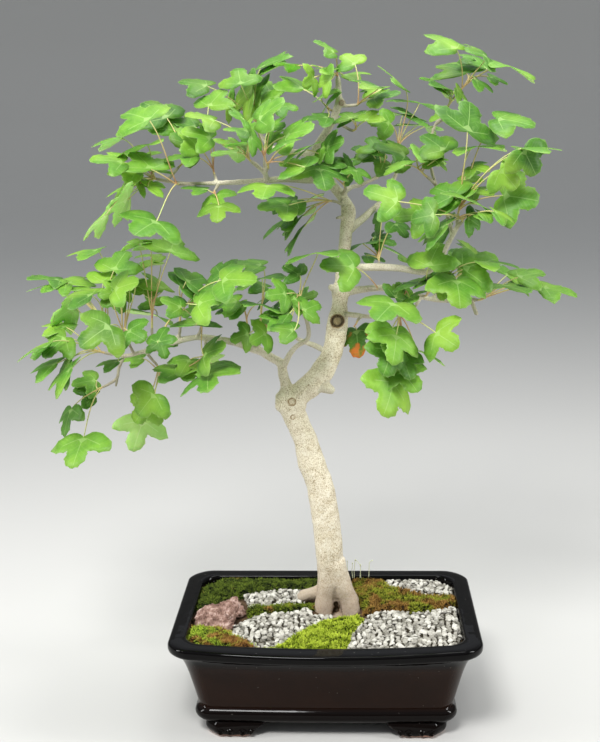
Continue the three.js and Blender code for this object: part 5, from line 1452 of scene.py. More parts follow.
class Forms:
    """Small shapes that the beds are strewn with, kept in hidden collections."""

    def __init__(self) -> None:
        """Makes the collections of stones and moss shoots."""
        stones = [self.stone(seed) for seed in range(FORM_COUNT)]
        shoots = [self.shoot(seed) for seed in range(FORM_COUNT)]
        self.made = stones + shoots
        self.stones = set_aside("crushed_stones", stones)
        self.shoots = set_aside("moss_shoots", shoots)

    def stone(self, seed: int) -> Piece:
        """Makes one angular crushed stone, a millimetre across its middle size."""
        draw = random.Random(100 + seed)
        work = bmesh.new()
        for _ in range(12):
            way = Vector([draw.gauss(0, 1) for _ in range(3)]).normalized()
            work.verts.new(Vector((way.x * 0.58, way.y * 0.5, way.z * 0.4)) * draw.uniform(0.85, 1.1) * MM)
        bmesh.ops.convex_hull(work, input=work.verts)
        bmesh.ops.delete(work, geom=[v for v in work.verts if not v.link_faces], context="VERTS")
        bmesh.ops.recalc_face_normals(work, faces=work.faces)
        mesh = bpy.data.meshes.new(f"stone_{seed}")
        work.to_mesh(mesh)
        work.free()
        return stand(mesh)

    def shoot(self, seed: int) -> Piece:
        """Makes one moss shoot: a ring of pointed leaves about a millimetre long."""
        draw = random.Random(200 + seed)
        vertices, faces, tips = [], [], []
        leaves = 6
        for k in range(leaves):
            angle = math.tau * (k + draw.uniform(-0.3, 0.3)) / leaves
            way = Vector((math.cos(angle), math.sin(angle), 0.0))
            side = Vector((-way.y, way.x, 0.0)) * 0.17
            lift = draw.uniform(0.5, 1.15)
            reach = draw.uniform(0.55, 0.95)
            first = len(vertices)
            vertices += [
                way * 0.05 - side * 0.6, way * 0.05 + side * 0.6,
                way * reach * 0.6 + Vector((0, 0, lift * 0.75)), way * reach + Vector((0, 0, lift)),
                way * reach * 0.5 + side * 0.9 + Vector((0, 0, lift * 0.45)),
                way * reach * 0.5 - side * 0.9 + Vector((0, 0, lift * 0.45)),
            ]
            faces += [
                (first, first + 1, first + 4, first + 5), (first + 5, first + 4, first + 3),
                (first + 1, first, first + 5, first + 2), (first + 4, first + 1, first + 2),
                (first + 5, first + 3, first + 2), (first + 3, first + 4, first + 2),
            ]
            tips += [0.0, 0.0, 0.7, 1.0, 0.5, 0.5]
        piece = Shell(vertices, faces).make(f"shoot_{seed}", smooth=False)
        set_values(piece, "tip", tips)
        return piece

    def clear(self) -> None:
        """Removes the shapes once every bed is strewn."""
        for piece in self.made:
            bpy.data.meshes.remove(piece.data)


class MossKind(Enum):
    """How a patch of moss looks, by where it grows."""

    SHADED = Moss("cushion_moss_shaded", "#0b0f07", "#303f15", "#697a2a", "#463a1a", 0.16)
    MIXED = Moss("cushion_moss_mixed", "#111606", "#425318", "#81912c", "#4b3c19", 0.22)
    DRY_EDGED = Moss("cushion_moss_dry_edged", "#1c210a", "#647c23", "#b4cb43", "#885b2c", 0.5)
    FRESH = Moss("cushion_moss_fresh", "#1f2806", "#748a12", "#c6d64a", "#6d6a1c", 0.0)
    RUSTY = Moss("cushion_moss_rusty", "#171506", "#5b651b", "#a0a537", "#6f501f", 0.52)


# Outlines of what covers the soil, anticlockwise, in millimetres from the pot's middle.
# fmt: off
MOSS_BEDS: dict[str, tuple[MossKind, Points]] = {
    "moss_back_left": (MossKind.SHADED, (
        (-133, 4), (-116, 14), (-103, 28), (-90, 38), (-87, 43), (-50, 58), (-14, 60), (22, 56), (22, 82),
        (-116, 82), (-133, 62),
    )),
    "moss_middle_left": (MossKind.MIXED, (
        (-80, -20), (-64, -5), (-38, -1), (-12, 8), (-12, 20), (-38, 18), (-62, 12), (-80, 14),
    )),
    "moss_front_left": (MossKind.DRY_EDGED, (
        (-133, -64), (-117, -82), (-60, -87), (-72, -73), (-88, -56), (-106, -40), (-133, -34),
    )),
    "moss_front_middle": (MossKind.FRESH, (
        (-62, -89), (20, -89), (26, -50), (38, -18), (32, -11), (10, -18), (-2, -24), (-27, -50), (-35, -68),
        (-44, -78),
    )),
    "moss_right": (MossKind.RUSTY, (
        (38, -6), (56, 4), (94, 0), (133, 15), (133, 42), (104, 41), (90, 52), (66, 66), (60, 82), (26, 82),
        (28, 52), (22, 38), (36, 26), (40, 8),
    )),
}

GRAVEL_BEDS: dict[str, Points] = {
    "gravel_back_left": (
        (-81, 15), (-62, 13), (-38, 19), (-24, 22), (-22, 40), (-30, 56), (-50, 57), (-87, 42),
    ),
    "gravel_front_left": (
        (-91, -54), (-71, -72), (-63, -84), (-44, -77), (-36, -67), (-28, -48), (-3, -22), (6, -9), (-14, -8),
        (-19, 6), (-38, -2), (-64, -6), (-79, -21), (-91, -34),
    ),
    "gravel_front_right": (
        (22, -89), (60, -87), (117, -82), (133, -64), (133, 13), (94, -2), (57, 2), (43, -10), (40, -17),
        (28, -50),
    ),
    "gravel_back_right": ((62, 82), (68, 67), (91, 53), (105, 43), (133, 44), (133, 62), (116, 82)),
}
# fmt: on


@dataclass
class GroundCover:
    """The soil, and the moss and crushed stone that lie on it."""

    scatter: Scatter
    forms: Forms
    soil: Ground = Ground("damp_potting_soil")
    stone: Ground = Ground("crushed_grey_stone", "#4a483f", "#9f9b90", "#dad7cd", 2.0, 9.0, 0.3, 0.9, True)
    # Grit under the stones, darker than the soil: partly grit, partly painted shade in the gaps between the
    # stones.
    grit_and_gap_shade: Ground = Ground("stone_grit", "#15110a", "#2c2619", "#4f4838", 1.6, 7.0, 0.8)
    moss_laying: Laying = Laying(
        height=3.4, edge=6.0, roll=2.2, cushions=2.2, spacing=2.05, smallest=1.6, largest=4.3, lift=0.6,
        seed=11, slot="moss",
    )
    stone_laying: Laying = Laying(
        height=2.0, edge=3.0, roll=1.0, cushions=0.0, spacing=4.2, smallest=4.9, largest=7.0, lift=1.3,
        seed=31, slot="gravel",
    )
    tilt: float = 0.55
    fruit: LeafStalk = LeafStalk("moss_fruit_stalk", "#9a7a48", "#c0b67c", "#e3e6c2")
    # Depth of the moss fruits, then columns and rows of each one from its foot to its capsule.
    fruit_depth: float = 70.0
    fruits: tuple[Points, ...] = (
        ((348, 578), (347.6, 570), (347.2, 562)), ((352.6, 578), (352.0, 571), (352.4, 564)),
        ((354.2, 578), (354.3, 569), (355.1, 561)), ((360.8, 578), (360.3, 571), (360.6, 565.5)),
        ((359.9, 578), (360.6, 569), (359.5, 564.5), (356.4, 560.6)),
        ((368.8, 577), (369.1, 569), (369.4, 562.5), (371.4, 560.8)),
    )  # fmt: skip

    def dress_soil(self) -> None:
        """Gives the soil its granular finish."""
        dress(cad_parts["soil"], self.soil.make())
        LOG.info("soil: dressed")

    def lay(
        self, index: int, bed: Bed, forms: bpy.types.Collection, ground: Material, cover: Material
    ) -> None:
        """Lays a bed and strews it.

        Args:
            index: Its place among the beds of its kind, which seeds its draw.
            bed: The bed, named as the solid that it stands for.
            forms: The small shapes that it is strewn with.
            ground: The finish of the mound.
            cover: The finish of the shapes.
        """
        laying = bed.laying
        values = {
            "Forms": forms, "Spacing": laying.spacing * MM, "Smallest": laying.smallest,
            "Largest": laying.largest, "Tilt": self.tilt, "Lift": laying.lift * MM,
            "Seed": laying.seed + index, "Ground": ground, "Cover": cover,
        }
        piece = bed.mound()
        run_tree(piece, self.scatter.tree, values)
        finish_piece(piece, laying.slot, bed.name)

    def build_beds(self) -> None:
        """Builds the five patches of moss and the four beds of crushed stone."""
        for index, (name, (kind, outline)) in enumerate(MOSS_BEDS.items()):
            moss = kind.value.make()
            self.lay(index, Bed(name, outline, self.moss_laying), self.forms.shoots, moss, moss)
        stone, grit_and_gap_shade = self.stone.make(), self.grit_and_gap_shade.make()
        for index, (name, outline) in enumerate(GRAVEL_BEDS.items()):
            self.lay(index, Bed(name, outline, self.stone_laying), self.forms.stones, grit_and_gap_shade, stone)

    def build_fruits(self) -> None:
        """Builds the thin fruit stalks of the moss behind the trunk, with their capsules."""
        shell = Shell()
        for points in self.fruits:
            path = [VIEW.seen_at(column, row, self.fruit_depth) for column, row in points]
            places, radii = smooth_through(path, [0.3] * len(path), 2.0)
            shell.add_tube(places, radii, 6)
            ahead = (places[-1] - places[-2]).normalized()
            capsule = [places[-1] + ahead * reach for reach in (0.0, 0.5, 1.1, 1.7)]
            shell.add_tube(capsule, [0.35, 0.62, 0.6, 0.3], 8)
        piece = shell.make("moss_fruits")
        fix_normals(piece)
        set_values(piece, "blush", [0.0] * len(piece.data.vertices))
        dress(piece, self.fruit.make())
        finish_piece(piece, "moss")


@dataclass
class PorousRock:
    """A wedge of pink lava stone: a smooth boulder on the left, a porous arm to the right."""

    voxel: float = 0.85
    # Column, row and height over the soil of the corners of each chunk.
    chunks: tuple[Points, ...] = (
        (
            (194.6, 617, 4), (196.5, 626, 0), (208, 631.5, 0), (226, 635, 0), (233, 628, 0), (235, 620, 3),
            (197, 611, 12), (203, 607.5, 16), (212, 606, 17), (228, 601.5, 18), (233, 613, 14), (238, 613, 8),
            (210, 607, 4),
        ),
        (
            (222, 606, 16), (229, 599.5, 19), (236, 597.5, 19), (239.5, 603, 15), (243, 610, 8),
            (245.5, 614.5, 2), (237, 619, 3), (228, 617, 14), (234, 606, 0), (222, 608, 0),
        ),
    )  # fmt: skip
    finish: Ground = Ground("pink_lava_stone", "#45302b", "#957568", "#d8bcb2", 1.2, 5.5, 2.4, 0.95)

    def build(self) -> Piece:
        """Builds the rock with its pores."""
        work = bmesh.new()
        for chunk in self.chunks:
            corners = [work.verts.new(VIEW.seen_on(c, r, BED_BASE + z)) for c, r, z in chunk]
            bmesh.ops.convex_hull(work, input=corners)
        bmesh.ops.delete(work, geom=[v for v in work.verts if not v.link_faces], context="VERTS")
        work.verts.index_update()
        corners = [v.co.copy() for v in work.verts]
        piece = Shell(corners, [tuple(v.index for v in f.verts) for f in work.faces]).make("rock_stone")
        work.free()
        remesh(piece, self.voxel, 1)
        normals = [v.normal.copy() for v in piece.data.vertices]
        for vertex, normal in zip(piece.data.vertices, normals):
            p = vertex.co / MM
            arm = min(1.0, max(0.0, (p.x - POT_CENTRE.x + 108.0) / 14.0))
            lump = 2.0 * noise.noise(p * 0.09) + 1.3 * noise.noise(p * 0.22 + Vector((7, 0, 0)))
            facet = 1.6 * (noise.voronoi(p * 0.11)[0][0] - 0.4)
            rough = (0.8 + 0.7 * arm) * noise.noise(p * 0.5) + 0.45 * noise.noise(p * 1.1)
            cell = noise.voronoi(p * (0.36 - 0.08 * arm))[0][0]
            pore = -(1.3 + 1.6 * arm) * max(0.0, 0.34 - cell) / 0.34
            vertex.co += normal * (lump + facet + rough + pore) * MM
            vertex.co.z = max(vertex.co.z, BED_BASE * MM)
        dress(piece, self.finish.make())
        finish_piece(piece, "rock", "rock")
        return piece


# ------------------------------------------------------------------ wood


@dataclass
class Wood:
    """Root flare, trunk, branches, cut stubs and twigs, grown together in one skin."""

    voxel: float = 1.15
    # The largest distance between two points of a limb's middle line.
    step: float = 2.6
    # Radius at the foot of a twig that carries a spray, how much it loses, and its run on.
    twig_radius: float = 1.75
    twig_taper: float = 0.35
    twig_run_on: float = 1.6
    # Column, row and depth of the roots' middle, and their reach before and behind it.
    root_middle: tuple[float, float, float] = (335, 590, 17.5)
    root_front: float = 14.0
    root_back: float = 12.0
    # What the fused skin takes off a limb's radius.
    skin_loss: float = 0.12
    finish: MapleBark = MapleBark("smooth_young_maple_bark")
    # Column, row, depth and radius of the points of the two legs of the foot.
    legs: tuple[Points, ...] = (
        ((331, 562, 17, 13.4), (328.2, 584, 14.5, 11.4), (325, 599, 12.5, 9.6), (323, 615, 10, 8.8)),
        ((332.5, 562, 17, 13.4), (340.5, 584, 14.5, 11.4), (347.6, 599, 12.5, 9.8), (352.8, 617, 10, 9.2)),
    )  # fmt: skip
    # Column, row, height over the table and radius of the surface roots' points.
    roots: tuple[Points, ...] = (
        ((333, 575, 122, 8), (335, 583, 104, 8), (336, 588, 90, 8)),
        ((331, 575, 122, 8), (323, 583, 104, 6), (321, 588, 90, 5)),
        ((335, 575, 122, 8), (350, 586, 104, 6.5), (355, 592, 90, 5.5)),
    )  # fmt: skip
    cut_root: Points = (
        (327, 575, 112, 8), (317, 578, 107, 6.6), (311, 580.5, 105, 6.4), (305.5, 582, 103, 7.0),
        (303, 583, 102, 6.2),
    )  # fmt: skip
    # Column, row and depth of each swelling's middle, then the offsets and the radii of its two
    # ends, and the number of its sides.
    swellings: tuple[tuple[tuple[float, ...] | int, ...], ...] = (
        ((291, 402, 17.5), (-7, 0, 0), (7, -1, 1), (13.4, 12.8), 18),
        ((341.5, 103, 8), (0, 0, 0), (0, -3, 1), (4.4, 3.6), 12),
        ((337.5, 321, 10), (0, 2, -3), (0, -1, 3), (7.4, 7.0), 14),
    )
    # Column, row, depth and radius of the cut stub in the fork.
    stub: Points = (
        (319, 383, 16, 9.0), (326.5, 387.5, 14, 6.4), (332, 390.5, 13, 4.2),
    )
    # Scar hollows and the notch's painted shade are marked on what is nearer to the eye than this.
    scar_range: float = 1350.0
    # Column, row, radius and depth of each hollow: one for each pruning scar, then the last two, which sink
    # the notch between the legs and darken it as painted shade.
    scars_and_notch: Points = (
        (337.3, 321, 6.6, 2.4), (292, 402, 4.4, 0.5), (293, 417, 2.6, 0.3), (341.6, 103, 2.6, 0.5),
        (335.7, 604, 3.2, 1.4), (335.9, 609, 4.0, 1.4),
    )  # fmt: skip

    def limbs(self) -> list[Route]:
        """Returns the middle line and radii of every limb, stub and twig."""
        found = [self.limb(points, VIEW.seen_at) for points in (*TRUNK_LIMBS.values(), *TWIGS.values())]
        for plan in SPRAY_PLANS:
            places = [VIEW.seen_at(*place) for place in plan.twig]
            ahead = (VIEW.seen_at(*plan.stem) - places[-1]).normalized()
            places.append(places[-1] + ahead * self.twig_run_on)
            last = len(places) - 1
            radii = [self.twig_radius - self.twig_taper * i / last for i in range(last + 1)]
            found.append(smooth_through(places, radii, self.step))
        found += [self.limb(points, VIEW.seen_at) for points in self.legs]
        return found + [self.limb(points, self.on_height) for points in (*self.roots, self.cut_root)]

    def limb(self, points: Points, seen: Callable[..., Vector]) -> Route:
        """Returns a limb's middle line and radii, by how the places of its points are found."""
        places = [seen(*point[:3]) for point in points]
        return smooth_through(places, [point[3] for point in points], self.step)

    def on_height(self, column: float, row: float, height: float) -> Vector:
        """Returns a place by its column and row, held near the trunk where it would run off."""
        place = VIEW.seen_on(column, row, height)
        middle = VIEW.seen_at(*self.root_middle).y
        place.y = max(middle - self.root_front, min(middle + self.root_back, place.y))
        return place

    def root_ball(self) -> Shell:
        """Returns the root ball under the soil, up into the foot of the trunk."""
        shell = Shell()
        middle = Vector((12.0, 21.0, 0.0)) + POT_CENTRE
        levels = (
            (62.3, 20.0), (70.0, 22.0), (82.0, 23.0), (87.0, 18.0), (90.0, 8.0), (99.0, 6.0), (108.0, 6.0)
        )
        shell.add_rings([circle(middle + Vector((0, 0, z)), r, 24) for z, r in levels])
        return shell

    def build(self) -> Piece:
        """Builds the wood and its bark."""
        shell = self.root_ball()
        limbs = self.limbs()
        for path, radii in limbs:
            thick = max(radii)
            sides = 20 if thick > 8 else 10 if thick > 3 else 8
            shell.add_tube(path, [r + self.skin_loss for r in radii], sides)
        for place, start, end, radii, sides in self.swellings:
            middle = VIEW.seen_at(*place)
            shell.add_tube([middle + Vector(start), middle + Vector(end)], radii, sides)
        shell.add_tube([VIEW.seen_at(*p[:3]) for p in self.stub], [p[3] for p in self.stub], 12)
        piece = shell.make("trunk_wood")
        fix_normals(piece)
        remesh(piece, self.voxel, 1)
        self.mark(piece, limbs)
        dress(piece, self.finish.make())
        finish_piece(piece, "bark", "trunk")
        return piece

    def mark(self, piece: Piece, limbs: list[Route]) -> None:
        """Roughens the skin, sinks the hollows of each scar and of the notch, and stores girth and the scar
        colour, which also paints shade into the notch, for the bark.

        Args:
            piece: The fused skin.
            limbs: Middle line and radii of each limb.
        """
        points = [(p, r) for path, radii in limbs for p, r in zip(path, radii)]
        tree = KDTree(len(points))
        for index, (place, _) in enumerate(points):
            tree.insert(place, index)
        tree.balance()
        centres = [(VIEW.sight(c, r).normalized(), size, hollow) for c, r, size, hollow in self.scars_and_notch]
        girths, wounds_and_notch_shade = [], []
        normals = [v.normal.copy() for v in piece.data.vertices]
        for vertex, normal in zip(piece.data.vertices, normals):
            p = vertex.co / MM
            near = tree.find_n(p, 5)
            girth = max(
                (points[i][1] for _, i, d in near if d < points[i][1] + 3.0), default=points[near[0][1]][1]
            )
            wound, shift = 0.0, 0.0
            from_eye = VIEW.from_eye(p)
            distance = from_eye.length
            # Each hollow sinks the skin and tints it; in the notch the tint is painted shade.
            for way, size, hollow in centres:
                if from_eye.dot(way) <= 0 or normal.dot(way) > -0.15:
                    continue
                off = (from_eye - way * from_eye.dot(way)).length
                share = off / size
                if share < 1.5 and distance < self.scar_range:
                    ring = math.exp(-(((share - 1.0) / 0.22) ** 2))
                    inner = max(0.0, 1.0 - (share / 0.85) ** 4)
                    shift += ring * 0.5 * hollow - inner * hollow
                    deep = min(1.0, hollow / 1.6)
                    rim = (0.4 + 0.22 * deep) * math.exp(-(((share - 0.82) / 0.13) ** 2))
                    face = max(0.0, 1.0 - (share / 0.8) ** 10)
                    wound = max(wound, rim, deep**2 * face if share < 0.74 else 0.0)
            fade = min(1.0, girth / 6.0)
            shift += fade * (0.75 * noise.noise(p * 0.09) + 0.28 * noise.noise(p * 0.35))
            shift += 0.10 * noise.noise(p * 0.9)
            vertex.co += normal * shift * MM
            girths.append(min(1.0, girth / 16.0))
            wounds_and_notch_shade.append(wound)
        set_values(piece, "girth", girths)
        set_values(piece, "wound", wounds_and_notch_shade)


# ------------------------------------------------------------------ leaves


class Part(Enum):
    """The parts of a spray, as the numbers its faces carry."""

    STALK = 0
    UPPER_FACE = 1
    UNDERSIDE = 2


@dataclass(frozen=True)
class LeafPose:
    """Where a blade is and how it is turned."""

    place: Vector
    along: Vector
    across: Vector
    normal: Vector
    length: float


@dataclass
class LeafForm:
    """One shape of a three-lobed blade, a unit long from stalk to tip."""

    seed: int
    first_seed: int = 400
    side_length: float = 0.9
    side_angle: float = math.radians(68)
    thickness: float = 0.011
    tooth: float = 0.05
    # Places between the veins of the right half that let the blade curl.
    between: Points = (
        (0.17, 0.22), (0.16, 0.4), (0.14, 0.6), (0.13, 0.77), (0.4, 0.03), (0.38, 0.29), (0.62, 0.13),
        (0.6, 0.35),
    )
    # Half the rim from stalk to tip, of a deeply cut blade and of a full one.
    cut_rim: Points = (
        (0.0, -0.015), (0.055, -0.06), (0.13, -0.105), (0.22, -0.135), (0.33, -0.145), (0.44, -0.12),
        (0.55, -0.075), (0.65, -0.01), (0.74, 0.07), (0.815, 0.155), (0.875, 0.25), (0.905, 0.335),
        (0.855, 0.39), (0.78, 0.425), (0.69, 0.44), (0.60, 0.44), (0.51, 0.43), (0.42, 0.415),
        (0.345, 0.405), (0.28, 0.415), (0.25, 0.465), (0.262, 0.54), (0.288, 0.615), (0.302, 0.69),
        (0.288, 0.765), (0.248, 0.835), (0.19, 0.895), (0.125, 0.945), (0.06, 0.985), (0.0, 1.01),
    )  # fmt: skip
    full_rim: Points = (
        (0.0, -0.01), (0.06, -0.05), (0.14, -0.11), (0.25, -0.16), (0.38, -0.185), (0.51, -0.165),
        (0.63, -0.11), (0.74, -0.03), (0.83, 0.06), (0.895, 0.16), (0.935, 0.265), (0.93, 0.355),
        (0.87, 0.42), (0.80, 0.465), (0.72, 0.495), (0.64, 0.515), (0.56, 0.52), (0.49, 0.52),
        (0.425, 0.525), (0.37, 0.54), (0.35, 0.58), (0.355, 0.63), (0.365, 0.69), (0.36, 0.75),
        (0.335, 0.81), (0.29, 0.865), (0.235, 0.915), (0.165, 0.955), (0.085, 0.985), (0.0, 1.0),
    )  # fmt: skip

    def ribs(self) -> list[Vector]:
        """Returns the tips of the three main veins."""
        x = self.side_length * math.sin(self.side_angle)
        y = self.side_length * math.cos(self.side_angle)
        return [Vector((0.0, 1.0)), Vector((x, y)), Vector((-x, y))]

    def height(self, x: float, y: float, bend: tuple[float, ...]) -> float:
        """Returns how far the blade stands above its plane at a place.

        Args:
            x: Across the blade.
            y: Along the blade.
            bend: Fold, droop, twist, wave and phase of this form.

        Returns:
            The height, in blade lengths.
        """
        fold, droop, twist, wave, phase = bend
        rib, reach = self.to_rib(x, y)
        away = math.hypot(x, y)
        rise = fold * rib - droop * away**2.2 - 0.5 * droop * abs(x) ** 2
        rise += twist * x * y + wave * away * math.sin(6.5 * math.atan2(x, y + 0.3) + phase)
        return rise + 0.03

    def to_rib(self, x: float, y: float) -> tuple[float, float]:
        """Returns the distance to the nearest main vein, and how far along that vein."""
        best = (9.0, 0.0)
        for tip in self.ribs():
            length = tip.length
            t = max(0.0, min(1.0, (x * tip.x + y * tip.y) / length**2))
            off = math.hypot(x - t * tip.x, y - t * tip.y)
            best = min(best, (off, t * length))
        return best

    def border(self, draw: random.Random) -> list[Vector]:
        """Draws the toothed rim, up the right half and down the left."""
        pinch = draw.uniform(-0.035, 0.035)
        lobes = draw.uniform(0.94, 1.06)
        right, left = [], []
        fullness = 0.15 + 0.85 * (self.seed % 4) / 3
        outline = [
            (ax + fullness * (bx - ax), ay + fullness * (by - ay))
            for (ax, ay), (bx, by) in zip(self.cut_rim, self.full_rim)
        ]
        last = len(outline) - 1
        for index, (x, y) in enumerate(outline):
            ahead, behind = outline[min(last, index + 1)], outline[max(0, index - 1)]
            run = Vector((ahead[0] - behind[0], ahead[1] - behind[1])).normalized()
            for side, store in ((1, right), (-1, left)):
                toothed = (index + (side > 0)) % 3 == 0 and y > -0.06
                push = self.tooth * draw.uniform(0.35, 1.0) if toothed else 0.012 * draw.uniform(-1, 1)
                push *= 0.0 if index in (0, last) else 1.0
                across, along = x * lobes + push * run.y, y - push * run.x
                store.append(Vector((side * across + pinch * across * along, along)))
        return right + left[-2:0:-1]

    def build(self) -> Piece:
        """Builds the blade: an upper face, an underside and the rim between them."""
        draw = random.Random(self.first_seed + self.seed)
        border = self.border(draw)
        side_share = self.side_length * draw.uniform(0.9, 0.98)
        inner: list[Vector] = [Vector((0.0, 0.035))]
        seams: list[tuple[int, int]] = []
        first = len(border)
        for tip in self.ribs():
            before = first
            for share in (0.2, 0.4, 0.6, 0.8):
                inner.append(tip * share * (0.99 if tip.x == 0 else side_share))
                seams.append((before, first + len(inner) - 1))
                before = first + len(inner) - 1
        for x, y in self.between:
            inner += [Vector((x, y)), Vector((-x, y))]
        result = delaunay_2d_cdt(border + inner, seams, [list(range(len(border)))], 1, 1e-5)
        flat, faces = result[0], [tuple(face) for face in result[2]]
        bend = (
            draw.uniform(0.06, 0.2), draw.uniform(0.05, 0.16), draw.uniform(-0.1, 0.1),
            draw.uniform(0.01, 0.028), draw.uniform(0.0, 6.0),
        )
        top = [Vector((p.x, p.y, self.height(p.x, p.y, bend))) for p in flat]
        under = [p - Vector((0.0, 0.0, self.thickness)) for p in top]
        shell = closed(top, under, faces)
        piece = shell.make(f"blade_{self.seed}")
        if piece.data.polygons[0].normal.z < 0:
            piece.data.flip_normals()
        measures = [self.to_rib(p.x, p.y) for p in flat]
        edges = [0.0 if any((v - p).length < 1e-4 for v in border) else 0.12 for p in flat]
        set_values(piece, "rib", [m[0] for m in measures] * 2)
        set_values(piece, "reach", [m[1] for m in measures] * 2)
        set_values(piece, "margin", edges * 2)
        parts = piece.data.attributes.new("part", "INT", "FACE")
        numbers = [Part.UPPER_FACE.value] * len(shell.faces)
        numbers[len(faces) : 2 * len(faces)] = [Part.UNDERSIDE.value] * len(faces)
        parts.data.foreach_set("value", numbers)
        return piece


@dataclass
class Foliage:
    """The leafy sprays: young shoots, leaf stalks and three-lobed blades."""

    shortest: float = 20.0
    longest: float = 39.0
    # A blade reaches a little past the tips of its veins.
    trim: float = 0.93
    stalk_radius: float = 0.62
    shoot_radius: float = 1.05
    # How much thicker a stalk is at its two ends, and how far apart pairs of stalks leave.
    stalk_foot: float = 1.25
    stalk_spacing: float = 3.2
    spray_seed: int = 7000
    # Inner leaves for each outer one, how far they stand behind, and the seed of their draw.
    inner_share: float = 0.45
    inner_depth: float = 8.0
    inner_seed: int = 40
    upper: LeafSkin = LeafSkin("maple_leaf_upper_face")
    under: LeafSkin = LeafSkin(
        "maple_leaf_underside", "#86b85a", "#aed67a", "#cdee98", "#d4ee96", "#e2f3be", "#c08a4a",
        roughness=0.6, vein_strength=0.4, glow=0.5,
    )
    stalk: LeafStalk = LeafStalk("young_maple_stalk")
    inputs: dict[str, str] = field(
        default_factory=lambda: {
            "Blades": "NodeSocketCollection",
            "Stalk sides": "NodeSocketInt",
            "Stalk": "NodeSocketMaterial",
            "Upper face": "NodeSocketMaterial",
            "Underside": "NodeSocketMaterial",
        }
    )

    def pose(self, leaf: tuple[float, ...]) -> LeafPose:
        """Finds how a blade is turned from where its lobes' tips are seen.

        Args:
            leaf: The leaf as it was written down.

        Returns:
            The blade's pose, in millimetres.
        """
        column, row, tip_column, tip_row, side_column, side_row, depth, *seen = leaf
        place = VIEW.seen_at(column, row, depth)
        right, up, _ = VIEW.axes()
        sight = VIEW.from_eye(place).normalized()
        right = (right - sight * right.dot(sight)).normalized()
        up = (up - sight * up.dot(sight)).normalized()
        pixel = VIEW.from_eye(place).dot(VIEW.axes()[2]) / VIEW.focal_pixels
        tip = Vector(((tip_column - column) * pixel, (row - tip_row) * pixel))
        side = Vector(((side_column - column) * pixel, (row - side_row) * pixel))
        ratio = LeafForm.side_length
        share = ratio * math.cos(LeafForm.side_angle)
        cross = tip.dot(side)
        leading = ratio**2 - share**2
        linear_term = side.length_squared + ratio**2 * tip.length_squared - 2 * share * cross
        constant = tip.length_squared * side.length_squared - cross**2
        root = math.sqrt(max(0.0, linear_term**2 - 4 * leading * constant))
        length = math.sqrt((linear_term + root) / (2 * leading))
        length = self.trim * max(self.shortest, min(self.longest, length))
        tip_reach = math.sqrt(max(0.01, (length / self.trim) ** 2 - tip.length_squared))
        side_reach = (share * (length / self.trim) ** 2 - cross) / tip_reach
        best = None
        for sign in (1, -1):
            along = (right * tip.x + up * tip.y + sight * sign * tip_reach).normalized()
            across = right * side.x + up * side.y + sight * sign * side_reach
            across = (across - along * across.dot(along)).normalized()
            normal = across.cross(along)
            if normal.dot(sight) * (-1 if seen else 1) > 0:
                normal, across = -normal, -across
            if best is None or normal.z > best.normal.z:
                best = LeafPose(place, along, across, normal, length)
        return best

    def inner_leaves(self, plan: SprayPlan, index: int) -> list[tuple[float, ...]]:
        """Draws the leaves that hide behind a spray's outer ones, each between two of these.

        Args:
            plan: The spray as it was written down.
            index: Its place in the list, which seeds the draw.

        Returns:
            The inner leaves, each written as an outer one is.
        """
        draw = random.Random(self.inner_seed + index)
        leaves = []
        for _ in range(round(self.inner_share * len(plan.leaves))):
            near, far = draw.sample(plan.leaves, 2)
            share = draw.uniform(0.25, 0.6)
            column, row = (a + share * (b - a) + draw.uniform(-5, 5) for a, b in zip(near[:2], far[:2]))
            depth = near[6] + share * (far[6] - near[6]) + self.inner_depth
            turn = Matrix.Rotation(math.radians(draw.uniform(-30, 30)), 2)
            tips = [turn @ Vector((near[k] - near[0], near[k + 1] - near[1])) * 0.9 for k in (2, 4)]
            places = [place for tip in tips for place in (column + tip.x, row + tip.y)]
            leaves.append((column, row, *places, depth, *near[7:]))
        return leaves

    def build_tree(self) -> Tree:
        """Builds the tree that hangs blades on their points and skins the stalks."""
        net, source = start_tree("leafy_spray", self.inputs)
        named = {
            name: net.add("GeometryNodeInputNamedAttribute", {"Name": name}, data_type=kind)
            for name, kind in (
                ("is_leaf", "BOOLEAN"), ("turn", "QUATERNION"), ("size", "FLOAT"), ("form", "INT"),
                ("thickness", "FLOAT"), ("part", "INT"),
            )
        }
        split = net.add(
            "GeometryNodeSeparateGeometry", {"Geometry": source["Geometry"], "Selection": named["is_leaf"]},
            domain="POINT",
        ).node.outputs
        points = net.add("GeometryNodeMeshToPoints", {"Mesh": split[0]})
        blades = net.add(
            "GeometryNodeCollectionInfo",
            {"Collection": source["Blades"], "Separate Children": True, "Reset Children": True},
        )
        hung = net.add(
            "GeometryNodeInstanceOnPoints",
            {
                "Points": points, "Instance": blades, "Pick Instance": True, "Instance Index": named["form"],
                "Rotation": named["turn"], "Scale": named["size"],
            },
        )
        lines = net.add("GeometryNodeMeshToCurve", {"Mesh": split[1]})
        section = net.add(
            "GeometryNodeCurvePrimitiveCircle", {"Resolution": source["Stalk sides"], "Radius": MM}
        )
        skin = net.add(
            "GeometryNodeCurveToMesh",
            {"Curve": lines, "Profile Curve": section, "Scale": named["thickness"], "Fill Caps": True},
        )
        smooth = net.add("GeometryNodeSetShadeSmooth", {0: skin})
        joined = net.add("GeometryNodeJoinGeometry", {0: [smooth, hung]})
        result = net.add("GeometryNodeRealizeInstances", {0: joined})
        for part, material in zip(Part, ("Stalk", "Upper face", "Underside")):
            chosen = net.add(
                "FunctionNodeCompare", {2: named["part"], 3: part.value}, data_type="INT", operation="EQUAL"
            )
            result = net.add(
                "GeometryNodeSetMaterial",
                {"Geometry": result, "Selection": chosen, "Material": source[material]},
            )
        net.add("NodeGroupOutput", {0: result})
        return net.tree

